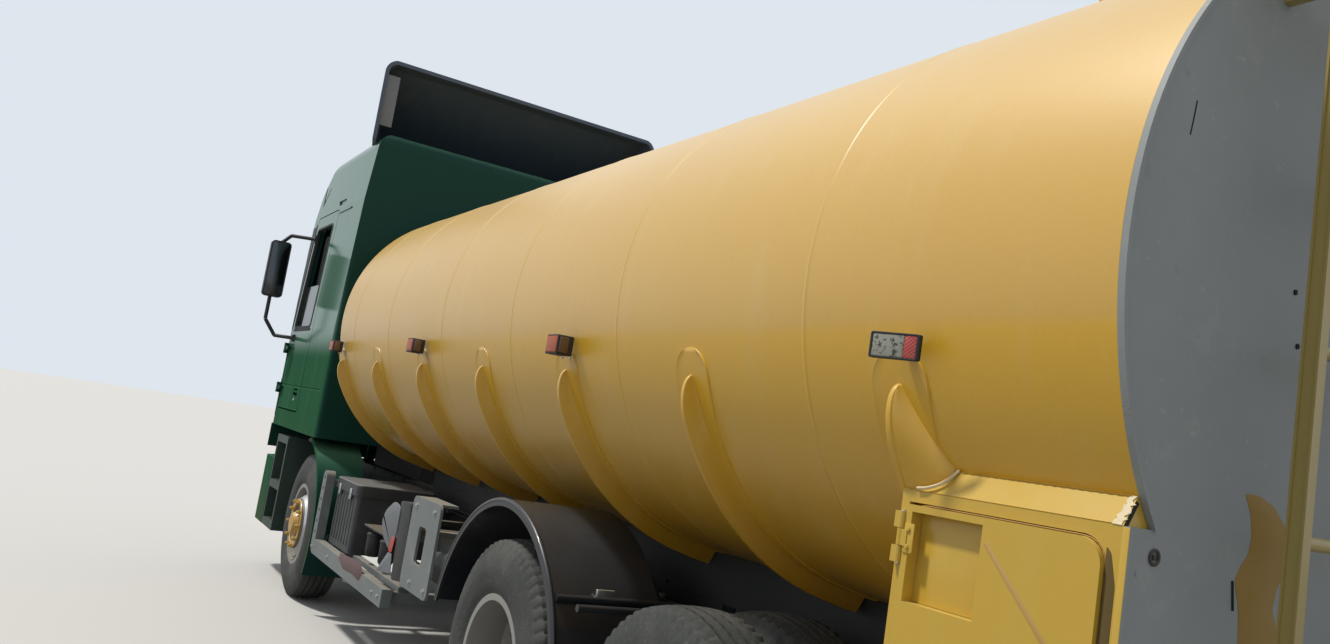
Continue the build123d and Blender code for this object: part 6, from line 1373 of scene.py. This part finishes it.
def makeChassisTrim():
    x = np.arange(-4.10, 3.95, 0.30)
    x = x[np.abs(x - rails["saddle"]) > 0.16]
    rows = [(v, rails["side"], z) for v in x for z in rails["rivets"]]
    shapes = [(bothSides(bolts(0.008, 0.007, "y", rows)), "frame_paint")]
    out = rails["pipeOut"]
    for z, radius in rails["pipes"]:
        path = curve([(-4.20, out, z), (-3.0, out, z), (-2.9, out, z - 0.02), (-1.0, out, z - 0.02),
                      (-0.9, out, z), (2.40, out, z), (2.50, 0.440, z + 0.02), (3.2, 0.440, z + 0.02)], 60,
                     0.3)
        pipe = tube(path, radius, 8)
        shapes += [(flipped(pipe), "black_plastic"), (pipe, "black_plastic")]
    clips = repeated(slab((-0.010, 0.425, -0.024), (0.010, 0.456, 0.024), 0.003),
                     [(v, 0, 0.885) for v in np.arange(-3.9, 3.1, 0.5)])
    shapes.append((bothSides(clips), "brightSteel"))
    for centre, low, high, y0, y1 in rails["uBolts"]:
        for dx in (-0.062, 0.062):
            loop = curve([(centre + dx, y0, low), (centre + dx, y0, high), (centre + dx, y1, high),
                          (centre + dx, y1, low)], 36, 0.2)
            shapes.append((bothSides(tube(loop, 0.009, 10, (1, 0, 0))), "axle_steel"))
            shapes.append((bothSides(bolts(0.013, 0.016, "-z",
                                           [(centre + dx, y0, low), (centre + dx, y1, low)])), "axle_steel"))
    chamber = turned([(0, 0), (0.055, 0), (0.078, 0.014), (0.080, 0.058), (0.088, 0.062), (0.088, 0.074),
                      (0.080, 0.078),
                      (0.078, 0.120), (0.060, 0.150), (0, 0.152)], 36)
    for axle in (axles["middle"], axles["rear"]):
        pot = moved(turnedTo(chamber, "-x"), (axle - 0.11, 0.250, 0.600))
        bracket = slab((axle - 0.118, 0.170, 0.520), (axle - 0.060, 0.330, 0.605), 0.006)
        shapes += [(bothSides(pot), "air_tank_paint"), (bothSides(bracket), "axle_steel")]
    sway = tube(curve([(2.82, -0.52, 0.455), (2.62, -0.52, 0.455), (2.62, 0.52, 0.455), (2.82, 0.52, 0.455)],
                      60, 0.12), 0.018, 14)
    clamps = bothSides(slab((2.600, 0.300, 0.432), (2.640, 0.330, 0.720), 0.006))
    shapes += [(sway, "axle_steel"), (clamps, "axle_steel")]
    piece("chassisTrim", shapes, "chassis", "frame_paint")
    capTop = moved(turned([(0, 0), (0.058, 0), (0.058, 0.012), (0.064, 0.014), (0.064, 0.042),
                           (0.050, 0.050), (0, 0.050)], 32),
                   (1.15, -0.90, 1.008))
    straps = bolts(0.010, 0.022, "-y", [(v, -1.214, 0.55) for v in (-0.332, 1.355)])
    a = np.linspace(0.02, 2 * np.pi + 0.02, 60)
    weldRings = [tube(np.column_stack([np.full(60, v), -0.8625 - 0.340 * power(np.cos(a), 0.28),
                                       0.715 + 0.290 * power(np.sin(a), 0.28)]), 0.004, 6, (1, 0, 0))
                 for v in (-0.10, 1.12)]
    piece("fuelTankTrim", [(capTop, "black_plastic"), (straps, "brightSteel"),
                           (joined(weldRings), "tank_alloy")], "chassis",
          "tank_alloy", "tank_alloy")
    tail = tube(curve([(1.70, -0.80, 0.50), (1.70, -0.80, 0.36), (1.62, -0.95, 0.33), (1.50, -1.16, 0.33)],
                      40, 0.45),
                0.040, 20, (1, 0, 0))
    pipeBolts = turnedTo(repeated(bolt(0.010, 0.009), circlePlaces(0.088, 8)), "-x")
    handle = tube(curve([(-4.128, 0.0, 0.79), (-4.128, 0.0, 0.86), (-4.128, 0.16, 0.88)], 20, 0.4), 0.010,
                  10, (1, 0, 0))
    piece("pipeTrim", [(tail, "silencer_steel"), (moved(pipeBolts, (-4.378, 0, 0.690)), "brightSteel"),
                       (handle, "redPaint")],
          "chassis", "pipe_steel", "pipe_steel")
    guardBolts = [(axles["middle"] + guard["boltCircle"] * math.cos(a), v,
                   tyre["radius"] + guard["boltCircle"] * math.sin(a))
                  for a in (math.radians(35), math.radians(145)) for v in (0.84, 1.00)]
    caps = repeated(turned([(0, 0), (0.010, 0), (0.008, 0.006), (0, 0.008)], 12), guardBolts)
    clamp = slab((-1.915, 0.96, 0.950), (-1.900, 1.04, 0.985), 0.004)
    a = np.radians(np.linspace(12, 165, 110))
    lip = tube(np.column_stack([axles["middle"] + guard["lipCircle"] * np.cos(a),
                                np.full(110, guard["lipOut"]),
                                tyre["radius"] + guard["lipCircle"] * np.sin(a)]), guard["lipThick"], 14,
               (0, 1, 0))
    piece("guardTrim", [(bothSides(caps), "brightSteel"), (clamp, "brightSteel"),
                        (bothSides(lip), "guard_plastic")],
          "chassis", "guard_plastic")


# Front and steps: raised bars on the treads, tow eyes, the bumper's lower lip, and a small bracket
def makeFrontTrim():
    bars = [slab((3.53 + 0.055 * k, 0.93, z), (3.55 + 0.055 * k, 1.20, z + 0.004), 0.0015) for k in range(7)
            for z in (0.4405, 0.7605)]
    eye = turnedTo(turned([(0.016, -0.012), (0.034, -0.012), (0.034, 0.012), (0.016, 0.012),
                           (0.016, -0.012)], 24), "y")
    lip = tube(curve([(3.98, 1.226, 0.392), (4.25, 1.226, 0.392), (4.382, 1.09, 0.392), (4.382, -1.09, 0.392),
                      (4.25, -1.226, 0.392), (3.98, -1.226, 0.392)], 60, 0.45), 0.006, 8)
    bracket = [slab((2.705, 1.195, 1.165), (2.760, 1.212, 1.195), 0.004),
               bolts(0.008, 0.008, "y", [(2.718, 1.212, 1.180), (2.748, 1.212, 1.180)])]
    shapes = [(bothSides(joined(bars)), "step_plastic"), (bothSides(moved(eye, (4.352, 0.36, 0.43))),
                                                          "axle_steel"),
              (lip, "bumper_paint"), (bothSides(joined(bracket)), "greyMetal")]
    piece("frontTrim", shapes, "chassis", "bumper_paint")


makeCabinetTrim()
makePlateTrim()
makeCarrierTrim()
makeChassisTrim()
makeFrontTrim()
print("stage: fittings")


# Floor and light
studio = {"floorHalf": 60.0, "sunEnergy": 2.75, "sunAngle": 5, "sunTowards": (-0.30, -0.42, -0.857)}


def makeStage():
    size = studio["floorHalf"]
    floor = bpy.data.meshes.new("floor")
    floor.from_pydata([(-size, -size, 0), (size, -size, 0), (size, size, 0), (-size, size, 0)], [],
                      [(0, 1, 2, 3)])
    material = bpy.data.materials.new("floor")
    material.use_nodes = True
    shader = material.node_tree.nodes["Principled BSDF"]
    shader.inputs["Roughness"].default_value = 0.9
    ground = Wire(material.node_tree)
    seenHere = Wire(material.node_tree,
                    ground.add("ShaderNodeLightPath").socket.node.outputs["Is Camera Ray"])
    colour = blend(seenHere, (0.26, 0.25, 0.235), (0.60, 0.59, 0.57))
    material.node_tree.links.new(colour.socket, shader.inputs["Base Color"])
    floor.materials.append(material)
    thing = bpy.data.objects.new("floor", floor)
    bpy.context.scene.collection.objects.link(thing)
    world = bpy.data.worlds.new("world")
    bpy.context.scene.world = world
    world.use_nodes = True
    tree = world.node_tree
    tree.nodes.clear()
    start = Wire(tree)
    path = start.add("ShaderNodeLightPath").socket.node
    seen = Wire(tree, path.outputs["Is Camera Ray"])
    shiny = Wire(tree, path.outputs["Is Glossy Ray"])
    plain = start.add("ShaderNodeBackground", None, {"Color": (0.92, 0.95, 1.0, 1.0), "Strength": 0.55})
    pale = start.add("ShaderNodeBackground", None, {"Color": (0.80, 0.86, 0.93, 1.0), "Strength": 0.92})
    factor = start.add("ShaderNodeMath", {"operation": "MAXIMUM"}, {0: seen, 1: shiny * 0.7})
    mixed = start.add("ShaderNodeMixShader", None, {0: factor, 1: plain, 2: pale})
    start.add("ShaderNodeOutputWorld", None, {"Surface": mixed})
    key = bpy.data.lights.new("key", "SUN")
    key.energy = studio["sunEnergy"]
    key.angle = math.radians(studio["sunAngle"])
    key.color = (1.0, 0.965, 0.90)
    sun = bpy.data.objects.new("key", key)
    sun.rotation_mode = "QUATERNION"
    sun.rotation_quaternion = Vector(studio["sunTowards"]).to_track_quat("-Z", "Y")
    bpy.context.scene.collection.objects.link(sun)
    bpy.context.scene.view_settings.view_transform = "Standard"


makeStage()
print("stage: floor and light")
